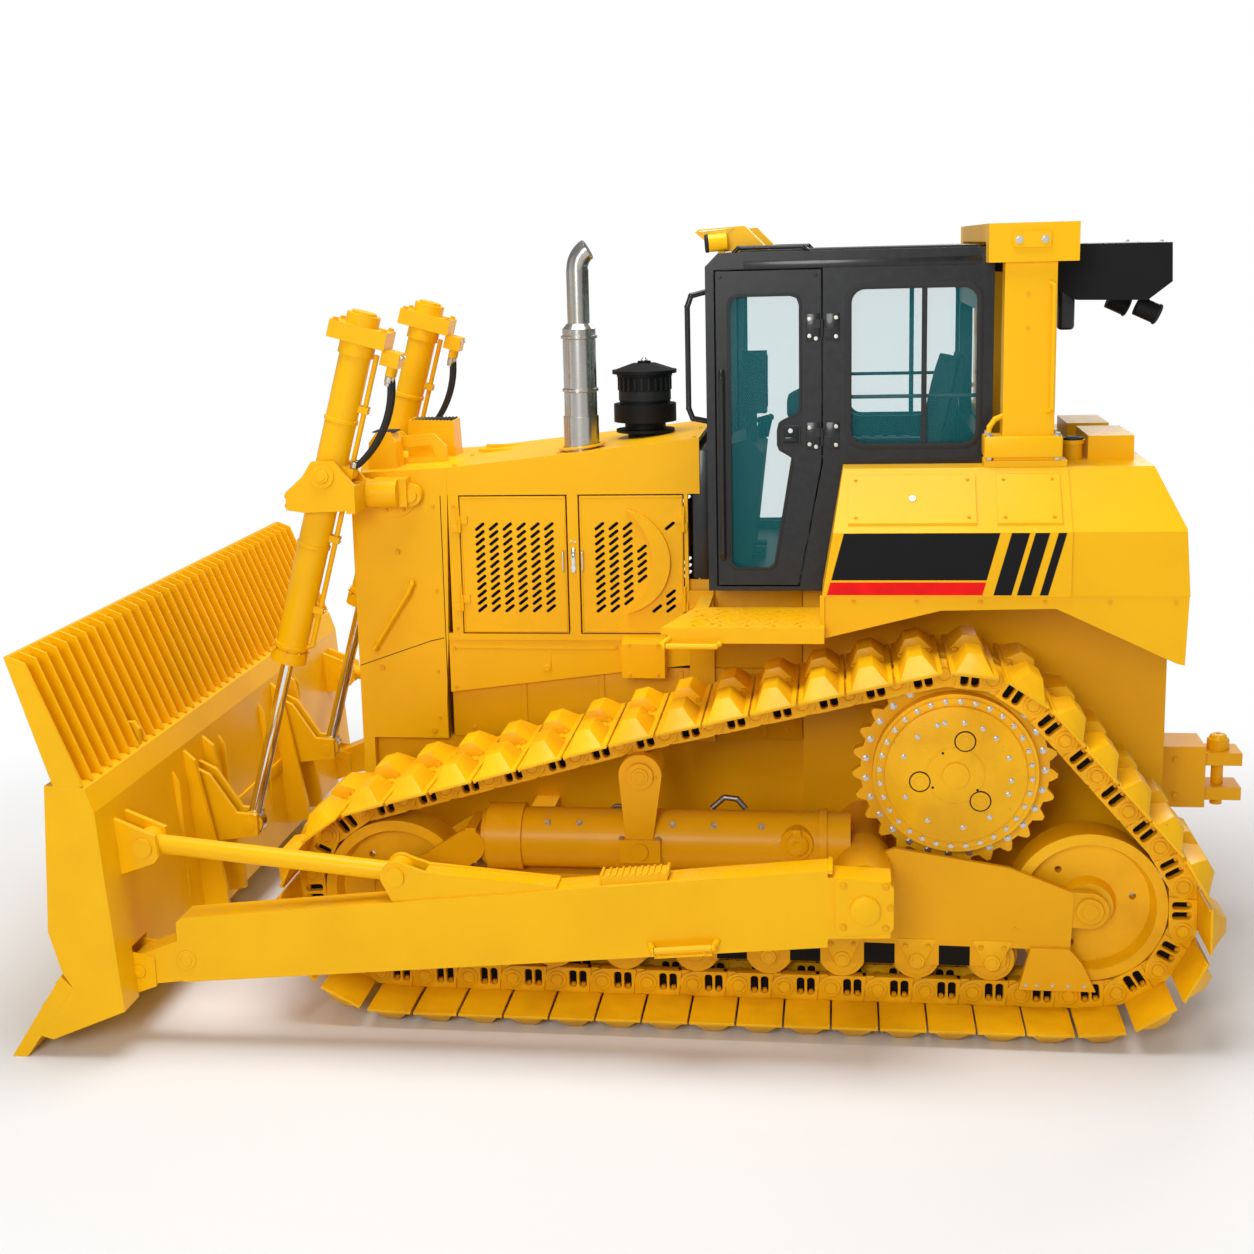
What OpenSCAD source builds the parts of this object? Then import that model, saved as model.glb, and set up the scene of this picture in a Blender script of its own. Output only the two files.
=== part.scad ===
// Bulldozer with raised sprockets and wide swamp shoes, in millimetres.
// X runs forward, Y to the machine's left, Z up from the ground under the lugs.
// Inside the modules X is measured from the rear idler's axle, and in_frame()
// then puts the origin under the middle of the machine's length.

/* [Undercarriage] */
// Distance between the middles of the two tracks
gauge = 2235; // [2150:5:2300]
// Distance from one link pin to the next
pitch = 215; // [200:1:230]
// Width of a track shoe
shoe_w = 762; // [600:2:790]
// Height of a shoe's lug over its plate
lug_h = 72; // [50:1:90]
// Width of the flat at a lug's tip
lug_tip_w = 66; // [40:1:90]
// Width of a lug where it stands on the plate
lug_base_w = 168; // [130:2:200]
// Distance by which a lug's end slopes inwards
lug_bevel = 95; // [60:5:110]
// Thickness of a shoe's plate
plate_t = 14; // [10:1:20]
// Distance from a link pin down to the shoe's plate
pin_to_plate = 64; // [58:1:72]
// Distance from a link pin up to the rail that the rollers run on
pin_to_rail = 62; // [56:1:70]
// Links between the axles of the two idlers
ground_links = 15; // [13:1:17]
// Radius of an idler's tread
idler_r = 350; // [320:1:370]
// Width of an idler over its treads
idler_w = 184; // [150:2:190]
// Sprocket axle ahead of the rear idler's axle
sprocket_x = 603; // [560:1:660]
// Height of the sprocket axle
sprocket_z = 1204; // [1180:1:1220]
// Teeth on the sprocket, which meshes at every second one
teeth = 27; // [25:2:29]
// Carrier roller ahead of the rear idler's axle
carrier_x = 2034; // [1900:5:2150]
// Height of the carrier roller's axle
carrier_z = 1185; // [1150:1:1200]
// Radius of the carrier roller
carrier_r = 90; // [80:1:100]
// Number of rollers under each track frame
roller_count = 8; // [6:1:8]
// Radius of a roller's tread
roller_r = 105; // [95:1:110]
// Gap between a wheel's tread and the rail
rail_gap = 0.5; // [0.3:0.1:0.9]

/* [Track frame] */
// Width of the roller frame's box beam
beam_w = 240; // [230:2:260]
// Height of the beam's underside over the ground
beam_z0 = 460; // [450:1:480]
// Height of the beam's top over the ground
beam_z1 = 690; // [660:1:700]
// Radius of the recoil spring's housing
recoil_r = 143; // [120:1:150]
// Height of the recoil housing's axis
recoil_z = 830; // [815:1:840]
// Thickness of the plates that carry idlers and rollers
fork_t = 35; // [25:1:40]
// Push arm trunnion ahead of the rear idler's axle
trunnion_x = 1012; // [1000:1:1040]
// Height of the push arm trunnion
trunnion_z = 750; // [740:1:760]
// Radius of the trunnion pin
trunnion_r = 60; // [50:1:65]

/* [Blade] */
// Reach of the blade past each push arm
blade_over = 179.5; // [120:0.5:220]
// Front of the cutting edge ahead of the rear idler's axle
blade_tip_x = 4888; // [4860:1:4910]
// Height of the blade's top beam
blade_h = 1298; // [1280:1:1320]
// Height of the rack's top edge
rack_h = 1885; // [1800:1:1900]
// Thickness of an end plate
end_plate_t = 30; // [20:1:40]
// Distance between the rack's ribs
rib_pitch = 105; // [90:1:140]
// Thickness of a rack rib
rib_t = 16; // [10:1:20]
// Width of a push arm
arm_w = 160; // [140:2:170]
// Gap between a push arm and the shoes
arm_gap = 92; // [80:1:110]

/* [Lift cylinders] */
// Distance of each lift cylinder from the machine's middle plane
lift_y = 700; // [690:1:710]
// Yoke pivot ahead of the rear idler's axle
yoke_x = 3600; // [3590:1:3620]
// Height of the yoke pivot
yoke_z = 2530; // [2510:1:2550]
// Rod eye ahead of the rear idler's axle
eye_x = 4105; // [4095:1:4115]
// Height of the rod eye
eye_z = 735; // [720:1:750]
// Outer radius of the barrel
barrel_r = 78; // [74:1:84]
// Barrel length above the yoke pivot
barrel_up = 720; // [700:5:760]
// Barrel length below the yoke pivot
barrel_down = 980; // [950:5:1000]
// Radius of the rod
rod_r = 32; // [28:1:36]
// Radius of the pin through the rod's eye
eye_pin_r = 28; // [24:1:30]

/* [Body] */
// Width of the engine hood and the radiator guard
hood_w = 960; // [900:10:1000]
// Length of the radiator guard over the hood's front edge
guard_len = 494; // [460:2:510]
// Width of the cab
cab_w = 1560; // [1500:10:1600]
// Front of the cab ahead of the rear idler's axle
cab_front = 1740; // [1720:1:1750]
// Back of the cab ahead of the rear idler's axle
cab_back = 430; // [420:1:440]
// Height of the cab's floor over the ground
cab_z0 = 1960; // [1950:1:1970]
// Height of the cab's roof over the ground
cab_z1 = 3540; // [3500:5:3560]
// Thickness of the cab's walls and doors
cab_t = 60; // [50:1:70]
// Thickness of window glass
glass_t = 6; // [5:1:8]
// Width over the fenders
fender_w = 2360; // [2300:10:2400]
// Height of the fenders' shoulder, where the side turns into the slope
shoulder_z = 2300; // [2280:1:2320]
// Thickness of fender sheets
sheet_t = 12; // [8:1:16]
// Thickness of an engine door
door_t = 40; // [30:1:50]
// Rear end of the drawbar behind the rear idler's axle
drawbar_end = 890; // [870:1:910]

/* [Fits] */
// Radial gap at pins, shafts and rods
running_gap = 0.5; // [0.3:0.1:0.8]
// Gap round a closed door
door_gap = 8; // [6:1:12]

/* [Hidden] */
yellow = "#f2ae00";
steel = "#9a9da1";
black = "#202225";

idler_base = ground_links * pitch;
middle_x = (blade_tip_x - drawbar_end) / 2;
track_y = gauge / 2;
pin_z = lug_h + plate_t + pin_to_plate;
idler_pin_r = norm([idler_r + pin_to_rail, pitch / 2]);
idler_z = pin_z + idler_pin_r;
sprocket_pin_r = pitch / (2 * sin(360 / teeth));
carrier_pin_r = carrier_r + pin_to_rail + 5;
rail_in = 46;
rail_t = 50;
link_half = rail_in + rail_t;
shoe_edge = track_y + shoe_w / 2;

// The wheels that the pins' line wraps: X, Z and the radius of that line
wheels = [[0, idler_z, idler_pin_r], [sprocket_x, sprocket_z, sprocket_pin_r],
    [carrier_x, carrier_z, carrier_pin_r], [idler_base, idler_z, idler_pin_r]];
function wheel(i) = wheels[(i + 4) % 4];
function to_next(i) = [wheel(i + 1)[0] - wheel(i)[0], wheel(i + 1)[1] - wheel(i)[1]];
// Direction of the line's outer normal on the straight run after wheel i
function leave(i) = atan2(to_next(i)[1], to_next(i)[0])
    + acos((wheel(i)[2] - wheel(i + 1)[2]) / norm(to_next(i)));
function wrap(i) = (leave(i - 1) - leave(i) + 720) % 360;
function arc_len(i) = wheel(i)[2] * wrap(i) * PI / 180;
function run_len(i) = sqrt(pow(norm(to_next(i)), 2) - pow(wheel(i)[2] - wheel(i + 1)[2], 2));
function stretch(k) = k % 2 == 0 ? arc_len(k / 2) : run_len((k - 1) / 2);
function on_wheel(i, a) = [wheel(i)[0] + wheel(i)[2] * cos(a), wheel(i)[1] + wheel(i)[2] * sin(a), a];
function on_arc(i, s) = on_wheel(i, leave(i - 1) - s / wheel(i)[2] * 180 / PI);
function on_run(i, s) = on_wheel(i, leave(i)) + s * [sin(leave(i)), -cos(leave(i)), 0];
function along(s, k = 0) = s <= stretch(k) || k == 7
    ? (k % 2 == 0 ? on_arc(k / 2, s) : on_run((k - 1) / 2, s)) : along(s - stretch(k), k + 1);
loop_len = arc_len(0) + run_len(0) + arc_len(1) + run_len(1)
    + arc_len(2) + run_len(2) + arc_len(3) + run_len(3);
links = round(loop_len / pitch);
// Place of the first pin on the ground run, ahead of the rear idler's axle
first_pin = 80;
function pin(k) = along((k % links) * loop_len / links + (k % links == 0 ? loop_len : 0) - first_pin);
function flat(p) = [p[0], p[1]];
function off_pin(k, d) = flat(pin(k)) + d * [cos(pin(k)[2]), sin(pin(k)[2])];
function out_dir(k) = let (step = flat(pin(k + 1)) - flat(pin(k))) [-step[1], step[0]] / norm(step);
// A corner of an edge that keeps its distance from the links on both sides of a pin
function corner_at(k, d) = let (u = out_dir(k + links - 1), v = out_dir(k)) flat(pin(k)) + d * (u + v)
    / (1 + u * v);

// Lines of the blade's section, in X and Z
back_low = [4328, 237];
back_high = [4397, 1177];
arm_y0 = shoe_edge + arm_gap;
arm_y1 = arm_y0 + arm_w;
blade_w = 2 * (arm_y1 + blade_over);
arm_pin = [4320, 360];
arm_boss_r = 34;
brace_front = [4262, 955];
brace_back = [3090, 840];

// The lift cylinder leans from the yoke's pivot to the rod's eye
lift_len = norm([eye_x - yoke_x, yoke_z - eye_z]);
lift_lean = atan2(eye_x - yoke_x, yoke_z - eye_z);
bore_r = barrel_r - 18;
stroke_up = 807;
stroke_down = 435;
rod_len = lift_len + stroke_down - barrel_down + 150;

hood_y = hood_w / 2;
cab_y = cab_w / 2;
fender_y = fender_w / 2;
hull_back = -420;
engine_top = 2300;
guard_back = 3066;
guard_front = guard_back + guard_len;
tank_z0 = 1905;

module in_frame() translate([-middle_x, 0, 0]) children();
module on_side(s) {
    if (s > 0) children();
    else mirror([0, 1, 0]) children();
}
module both_sides() {
    children();
    mirror([0, 1, 0]) children();
}
// A box from its lowest to its highest corner
module block(x0, x1, y0, y1, z0, z1) translate([x0, y0, z0]) cube([x1 - x0, y1 - y0, z1 - z0]);
// A flat X-Z outline made solid between two values of Y
module plate_xz(y0, y1) translate([0, y1, 0]) rotate([90, 0, 0]) linear_extrude(y1 - y0) children();
module rod_y(x, z, y0, y1, r, sides = 48) translate([x, y0, z]) rotate([-90, 0, 0])
    cylinder(h = y1 - y0, r = r, $fn = sides);
module rod_x(y, z, x0, x1, r) translate([x0, y, z]) rotate([0, 90, 0])
    cylinder(h = x1 - x0, r = r, $fn = 48);
module rod_z(x, y, z0, z1, r) translate([x, y, z0]) cylinder(h = z1 - z0, r = r, $fn = 48);
// A link between two round ends, flat in X-Z, whose edges run just inside both tangents
link_ease = 0.4;
function dir(a) = [cos(a), sin(a)];
module link_xz(a, ra, b, rb, y0, y1) {
    lean = atan2(b[1] - a[1], b[0] - a[0]);
    open = acos((ra - rb) / norm(b - a));
    plate_xz(y0, y1) {
        translate(a) circle(r = ra, $fn = 48);
        translate(b) circle(r = rb, $fn = 48);
        polygon([for (e = [[a, ra, 1], [b, rb, 1], [b, rb, -1], [a, ra, -1]]) e[0] + (e[1] - link_ease)
            * dir(lean + e[2] * open)]);
    }
}
// A flat Y-Z outline made solid between two values of X
module plate_yz(x0, x1) translate([x0, 0, 0]) rotate([90, 0, 90]) linear_extrude(x1 - x0) children();
// A round bar from point to point, and one that bends through several points at swollen joints
joint_over = 1;
module rod_to(p, q, r) translate(p) rotate([0, acos((q[2] - p[2]) / norm(q - p)),
    atan2(q[1] - p[1], q[0] - p[0])])
    cylinder(h = norm(q - p), r = r, $fn = 32);
module pipe(p, r) {
    for (i = [0:len(p) - 2]) rod_to(p[i], p[i + 1], r);
    for (i = [1:len(p) - 2]) translate(p[i]) sphere(r = r + joint_over, $fn = 32);
}
// A rectangle with round corners
module round_rect(x0, x1, z0, z1, r) {
    translate([x0 + r, z0]) square([x1 - x0 - 2 * r, z1 - z0]);
    translate([x0, z0 + r]) square([x1 - x0, z1 - z0 - 2 * r]);
    for (x = [x0 + r, x1 - r], z = [z0 + r, z1 - r]) translate([x, z]) circle(r = r, $fn = 48);
}

// Tracks: a shoe is a flat plate with an outer and an inner lug, which slope at their ends
plate_top = pin_to_plate + plate_t;
lug_top = plate_top + lug_h;
shoe_gap = 8;
lug_notch = 83;
module shoe_plate() plate_xz(track_y - shoe_w / 2, shoe_edge) polygon([
    [(shoe_gap - pitch) / 2, pin_to_plate], [(pitch - shoe_gap) / 2, pin_to_plate],
    [(pitch - shoe_gap) / 2, plate_top], [(shoe_gap - pitch) / 2, plate_top]]);
module lug(dir_y) intersection() {
    plate_xz(track_y - shoe_w / 2, shoe_edge)
        polygon([[-lug_base_w / 2, plate_top - 1], [-lug_base_w / 2, plate_top],
        [-lug_tip_w / 2, lug_top], [lug_tip_w / 2, lug_top], [lug_base_w / 2, plate_top],
            [lug_base_w / 2, plate_top - 1]]);
    plate_yz(-pitch, pitch) polygon([for (p = [[lug_notch, plate_top - 1], [lug_notch, lug_top],
        [shoe_w / 2 - lug_bevel, lug_top], [shoe_w / 2 - 2, plate_top], [shoe_w / 2 - 2, plate_top - 1]])
        [track_y + dir_y * p[0], p[1]]]);
}
module shoe(k) {
    a = pin(k);
    b = pin(k + 1);
    m = (a + b) / 2;
    turn = atan2(b[1] - a[1], b[0] - a[0]);
    translate([m[0], 0, m[1]]) rotate([0, -turn, 0]) {
        shoe_plate();
        lug(1);
        lug(-1);
    }
}
rail_seat = 0.3;
module rail(y0, y1) plate_xz(y0, y1) difference() {
    polygon([for (k = [0:links - 1]) corner_at(k, pin_to_plate - rail_seat)]);
    polygon([for (k = [0:links - 1]) off_pin(k, -pin_to_rail)]);
}
module track(s) in_frame() on_side(s) color(yellow) union() {
    for (k = [0:links - 1]) shoe(k);
    rail(track_y + rail_in, track_y + link_half);
    rail(track_y - link_half, track_y - rail_in);
}
module track_left() track(1);
module track_right() track(-1);

// Sprockets: a toothed ring on the final drive's hub
hub_r = 370;
case_y = 560;
hub_out = track_y + 125;
hub_in = track_y - 60;
tooth_r = sprocket_pin_r - 5;
root_r = sprocket_pin_r - 42;
// A pin that lies on the sprocket sets where the gaps between its teeth are
sprocket_pin = 10;
module tooth(i) rotate(pin(sprocket_pin)[2] + (i + 0.5) * 360 / teeth)
    polygon([[root_r - 10, -36], [root_r + 12, -26],
    [tooth_r, -9], [tooth_r, 9], [root_r + 12, 26], [root_r - 10, 36]]);
module sprockets() in_frame() color(yellow) both_sides() difference() {
    union() {
        translate([sprocket_x, 0, sprocket_z]) plate_xz(track_y - 30, track_y + 30) union() {
            circle(r = root_r, $fn = 90);
            for (i = [0:teeth - 1]) tooth(i);
        }
        rod_y(sprocket_x, sprocket_z, case_y, hub_in + 1, 290);
        rod_y(sprocket_x, sprocket_z, hub_in, hub_out - 22, hub_r);
        rod_y(sprocket_x, sprocket_z, hub_out - 23, hub_out, 318);
        rod_y(sprocket_x, sprocket_z, hub_out - 1, hub_out + 14, 60);
    }
    for (a = [60, 180, 300]) rod_y(sprocket_x + 200 * cos(a), sprocket_z + 200 * sin(a), hub_out - 12,
        hub_out + 1, 42);
}

// Idlers: a rim, a dished web and a hub, turned about the axle
axle_r = 45;
module idler(x) difference() {
    idler_body(x);
    for (a = [50, 170, 290]) rod_y(x + 205 * cos(a), idler_z + 205 * sin(a), track_y - 26, track_y + 26,
        16);
}
module idler_body(x) translate([x, track_y, idler_z]) rotate([-90, 0, 0]) rotate_extrude($fn = 72)
    polygon([
    [axle_r, -idler_w / 2 + 10], [110, -idler_w / 2 + 10], [130, -25], [idler_r - 70, -25],
    [idler_r - 50, -idler_w / 2], [idler_r, -idler_w / 2], [idler_r, idler_w / 2],
    [idler_r - 50, idler_w / 2], [idler_r - 70, 25], [130, 25], [110, idler_w / 2 - 10],
        [axle_r, idler_w / 2 - 10]]);
module idlers() in_frame() color(yellow) both_sides() {
    idler(0);
    idler(idler_base);
}

// Rollers: two treads with flanges between, and the carrier roller
roller_x0 = 430;
roller_x1 = 2810;
roller_z = pin_z + pin_to_rail + roller_r + rail_gap;
roller_half = 112;
roller_axle_r = 30;
module roller(x) difference() {
    union() {
        rod_y(x, roller_z, track_y - roller_half, track_y + roller_half, roller_r - 24);
        for (y = [-rail_in - rail_t, rail_in])
            rod_y(x, roller_z, track_y + y, track_y + y + rail_t, roller_r);
        for (y = [-34, 16]) rod_y(x, roller_z, track_y + y, track_y + y + 18, roller_r + 18);
    }
    rod_y(x, roller_z, track_y - roller_half - 1, track_y + roller_half + 1,
        roller_axle_r + running_gap);
}
module carrier() difference() {
    rod_y(carrier_x, carrier_z, track_y - 96, track_y + 96, carrier_r);
    rod_y(carrier_x, carrier_z, track_y - 97, track_y + 97, roller_axle_r + running_gap);
}
module rollers() in_frame() color(yellow) both_sides() {
    for (i = [0:roller_count - 1]) roller(roller_x0 + i * (roller_x1 - roller_x0) / (roller_count - 1));
    carrier();
}

// Track frames
beam_x0 = 430;
beam_x1 = 2780;
fork_in = idler_w / 2 + 8;
module idler_fork(x0, z0, r0, x1) for (y = [-fork_in - fork_t, fork_in])
    link_xz([x0, z0], r0, [x1, idler_z], 85, track_y + y, track_y + y + fork_t);
module roller_plates() for (y = [-roller_half - 1 - 24, roller_half + 1])
    plate_xz(track_y + y, track_y + y + 24) polygon([[roller_x0 - 90, beam_z1 - 60], [roller_x0 - 60,
        roller_z - 20],
        [roller_x1 + 60, roller_z - 20], [roller_x1 + 90, beam_z1 - 60]]);
module roller_axles() for (i = [0:roller_count - 1])
    rod_y(roller_x0 + i * (roller_x1 - roller_x0) / (roller_count - 1), roller_z,
        track_y - roller_half - 24, track_y + roller_half + 24, roller_axle_r);
post_y0 = track_y + 98;
post_y1 = track_y + 150;
module carrier_post() {
    rod_y(carrier_x, carrier_z, track_y - 96, post_y1 + 8, roller_axle_r);
    link_xz([carrier_x, carrier_z], 100, [carrier_x + 10, 860], 62, post_y0, post_y1);
    rod_y(carrier_x, carrier_z, post_y1 - 1, post_y1 + 16, 62);
    block(carrier_x - 90, carrier_x + 100, post_y0, post_y1 + 22, 770, 880);
    rod_y(carrier_x + 5, 825, post_y1 + 21, post_y1 + 36, 40);
}
// The plate beside the rear idler and the guide foot under it
module rear_plate() {
    plate_xz(track_y + roller_half + 1, track_y + fork_in + fork_t + 6) polygon([
        [1166, 402], [1129, 754], [872, 856], [357, 773], [70, 660], [84, 387]]);
    plate_xz(track_y + fork_in + fork_t - 12, track_y + fork_in + fork_t + 24) polygon([
        [90, 400], [261, 400], [311, 197], [-32, 197], [30, 330]]);
}
module recoil_housing() {
    rod_x(track_y, recoil_z, trunnion_x + 60, 2605, recoil_r);
    rod_x(track_y, recoil_z, 2604, beam_x1 - 5, recoil_r + 18);
    rod_x(track_y, recoil_z, beam_x1 - 6, beam_x1 + 20, recoil_r - 12);
    rod_x(track_y, recoil_z, beam_x1, beam_x1 + 60, 70);
    rod_x(track_y, recoil_z, 1180, 1215, recoil_r + 12);
    rod_y(1316, recoil_z + 40, track_y + 90, track_y + recoil_r + 14, 74);
    rod_y(1316, recoil_z + 40, track_y + recoil_r + 13, track_y + recoil_r + 28, 52);
}
module track_frame(s) in_frame() on_side(s) color(yellow) union() {
    block(beam_x0, beam_x1, track_y - beam_w / 2, track_y + beam_w / 2, beam_z0, beam_z1);
    recoil_housing();
    block(beam_x1 + 40, beam_x1 + 90, track_y - fork_in - fork_t, track_y + fork_in + fork_t,
        recoil_z - 90, recoil_z + 80);
    idler_fork(beam_x1 + 80, recoil_z - 10, 80, idler_base);
    idler_fork(beam_x0 + 40, 600, 90, 0);
    block(beam_x0 - 60, beam_x0 + 60, track_y - fork_in - fork_t, track_y + fork_in + fork_t, 520,
        beam_z1);
    for (x = [0, idler_base]) rod_y(x, idler_z, track_y - fork_in - fork_t,
        track_y + fork_in + fork_t + 14, axle_r - running_gap);
    roller_plates();
    rear_plate();
    roller_axles();
    carrier_post();
    rod_y(trunnion_x, trunnion_z, case_y, track_y, 110);
    rod_y(trunnion_x, trunnion_z, track_y, arm_y0 - 30, 130);
    rod_y(trunnion_x, trunnion_z, arm_y0 - 31, arm_y1 - 20, trunnion_r);
    block(2540, 2680, track_y - beam_w / 2 - 110, track_y - beam_w / 2 + 1, 600, 700);
}
module track_frame_left() track_frame(1);
module track_frame_right() track_frame(-1);

// Main frame: the transmission case at the back, frame rails to the front
// and the equalizer bar
bar_end = 172;
module main_frame() in_frame() color(yellow) difference() {
    union() {
        plate_xz(-case_y, case_y) polygon([[hull_back, 620], [hull_back + 60, 520], [1300, 480],
            [1300, cab_z0],
            [cab_back - 60, cab_z0], [cab_back - 115, tank_z0], [hull_back, tank_z0]]);
        block(1299, guard_front - 60, -420, 420, 560, 1130);
        block(2550, 2670, -track_y + bar_end, track_y - bar_end, 700, 810);
        both_sides() block(cab_front, 1862, 300, hood_y, 1129, 1900);
    }
    for (y = [-300, 300], z = [900, 1500]) rod_x(y, z, hull_back - 1, hull_back + 90, 15);
}

module engine_block() in_frame() color(steel) block(1960, 2960, -330, 330, 1130, engine_top);

module radiator_guard() in_frame() color(yellow) difference() {
    union() {
        plate_xz(-hood_y, hood_y) polygon([[3110, 1130], [3110, 1330], [3090, 1640], [guard_back, 2380],
            [guard_back, 2523], [guard_front - 40, 2502], [guard_front, 2460], [guard_front, 800],
            [guard_front - 60, 700], [guard_front - 60, 1130]]);
        both_sides() rod_y(3330, 2390, hood_y - 1, hood_y + 12, 110);
        both_sides() pipe([[3264, hood_y - 1, 1952], [3258, hood_y + 42, 1940], [3276, hood_y + 48, 1900],
            [3440, hood_y + 48, 1650], [3466, hood_y + 42, 1610], [3464, hood_y - 1, 1600]], 13);
        plate_xz(215, 365) polygon([[3340, 2480], [3495, 2480], [3486, 2640], [3445, 2692], [3372, 2692],
            [3350, 2640]]);
        plate_xz(-235, -60) polygon([[3130, 2480], [3390, 2480], [3382, 2712], [3140, 2705]]);
        plate_xz(160, 188) difference() {
            polygon([[3120, 2490], [3470, 2480], [3460, 2610], [3400, 2648], [3190, 2664], [3128, 2600]]);
            polygon([[3180, 2545], [3400, 2538], [3392, 2590], [3205, 2608]]);
        }
    }
    for (i = [0:9]) block(guard_front - 40, guard_front + 1, -hood_y + 110, hood_y - 110, 1280 + i * 100,
        1350 + i * 100);
}

hood_low = 2385;
module hood() in_frame() color(yellow) difference() {
    plate_xz(-hood_y, hood_y) polygon([[guard_back, hood_low], [guard_back, 2523], [2900, 2540],
        [1802, 2659], [1802, hood_low]]);
    plate_xz(-hood_y + sheet_t, hood_y - sheet_t)
        polygon([[guard_back + 1, hood_low - 1], [guard_back + 1, 2500], [2900, 2520],
        [1790, 2639], [1790, hood_low - 1]]);
    rod_z(2400, 330, 2400, 2800, 92);
    rod_z(pre_x, 0, 2400, 2800, 92);
}

// Sheets below and between the engine doors, with the posts' half of the hinges
door_low = 1686;
hinge_out = 12;
knuckle_r = 9;
knuckle_h = 40;
front_door = [2470, 3004];
rear_door = [1887, 2400];
// One body's share of a hinge: a knuckle on the axis and its leaf
module knuckle(x, y, z, dir, leaf = 36) {
    rod_z(x, y + hinge_out, z, z + knuckle_h, knuckle_r);
    translate([x + (dir > 0 ? 4 : -4 - leaf), y - 1, z]) cube([leaf, hinge_out + 1, knuckle_h]);
}
module side_panels() in_frame() color(yellow) both_sides() {
    block(1862, 3088, hood_y - door_t, hood_y, 1646, door_low - 7);
    plate_xz(hood_y - door_t, hood_y - 8) polygon([[1862, 1520], [1862, 1650], [3088, 1650],
        [3088, 1372], [2211, 1482]]);
    plate_yz(1977, 2192) polygon([[hood_y - 20, 1483], [600, 1483], [600, 1656], [hood_y - 20, 1676]]);
    for (x = [[1862, 1881], [2408, 2462], [3010, 3064]])
        block(x[0], x[1], hood_y - door_t, hood_y, door_low - 8, hood_low);
    for (z = [1800, 2200]) {
        knuckle(rear_door[0] - 3, hood_y, z, -1, 14);
        knuckle(front_door[1] + 3, hood_y, z, 1);
    }
}

module exhaust_stack() in_frame() color("silver") union() {
    rod_z(2400, 330, engine_top, 2760, 88);
    rod_z(2400, 330, 2759, 3190, 82);
    translate([2400, 330, 3189]) cylinder(h = 26, r1 = 82, r2 = 60, $fn = 48);
    rod_z(2400, 330, 3214, 3480, 55);
    translate([2400 - 110, 330, 3479]) rotate([90, 0, 0]) rotate_extrude(angle = 60, $fn = 48)
        translate([110, 0]) circle(r = 53, $fn = 32);
}

pre_x = 2115;
module air_precleaner() in_frame() color(black) union() {
    rod_z(pre_x, 0, engine_top, 2660, 90);
    rod_z(pre_x, 0, 2645, 2660, 150);
    rod_z(pre_x, 0, 2659, 2700, 105);
    rod_z(pre_x, 0, 2699, 2790, 160);
    rod_z(pre_x, 0, 2789, 2930, 130);
    rod_z(pre_x, 0, 2929, 2945, 142);
    rod_z(pre_x, 0, 2944, 2962, 165);
    translate([pre_x, 0, 2961]) cylinder(h = 34, r1 = 160, r2 = 62, $fn = 48);
    rod_z(pre_x, 0, 2994, 3006, 34);
}

// Cab
door_x0 = 1200;
door_x1 = 1700;
door_z0 = cab_z0 + 20;
door_z1 = cab_z1 - 75;
module door_outline(g) polygon([[door_x1 - g, door_z0 + g], [door_x1 - g, door_z1 - g],
    [door_x0 + g, door_z1 - g],
    [door_x0 + g, 2560], [door_x0 + 110 + g, door_z0 + g]]);
cab_hinge_z = [2650, 3150];
module pane_outline(g) offset(delta = -g) polygon([[1640, 2085], [1640, 3315], [1622, 3343],
    [1595, 3352], [1335, 3352],
    [1308, 3342], [1297, 3312], [1297, 2815], [1312, 2790], [1372, 2772], [1392, 2757], [1400, 2728],
        [1400, 2662],
    [1390, 2636], [1346, 2610], [1334, 2580], [1416, 2082], [1438, 2060], [1618, 2060]]);
side_window = [490, 1085];
side_window_z = [2640, 3378];
mullion_x = 728;
bar_z = 2869;
module side_window_outline(g) round_rect(side_window[0] + g, side_window[1] - g, side_window_z[0] + g,
    side_window_z[1] - g, 75);
module front_window_outline(g) round_rect(-cab_y + 90 + g, cab_y - 90 - g, 2400 + g, 3390 - g, 60);
module rear_window_outline(g) round_rect(-cab_y + 120 + g, cab_y - 120 - g, 2660 + g, 3250 - g, 60);
roof_panel_x1 = cab_front - 160;
module cab_frame() in_frame() color(black) {
    cab_shell();
    block(cab_back + 60, roof_panel_x1, -cab_y + 70, cab_y - 70, cab_z1 - 1, cab_z1 + 10);
    both_sides() {
        for (z = cab_hinge_z) knuckle(door_x0 + 4, cab_y, z, -1);
        block(mullion_x, mullion_x + 24, cab_y - 23, cab_y - 6, side_window_z[0] - 1,
            side_window_z[1] + 1);
        rod_x(cab_y - cab_t + 12, bar_z, side_window[0] - 1, side_window[1] + 1, 9);
        pipe([[cab_front - 2, cab_y - 30, 3366], [cab_front + 66, cab_y - 10, 3350],
            [cab_front + 84, cab_y - 6, 3300],
            [cab_front + 84, cab_y - 6, 2830], [cab_front + 66, cab_y - 10, 2782],
                [cab_front - 2, cab_y - 30, 2766]], 13);
        pipe([[1610, cab_y - 24, cab_z1 - 2], [1585, cab_y - 22, cab_z1 + 22],
            [1290, cab_y - 22, cab_z1 + 22],
            [1265, cab_y - 24, cab_z1 - 2]], 10);
    }
}
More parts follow.
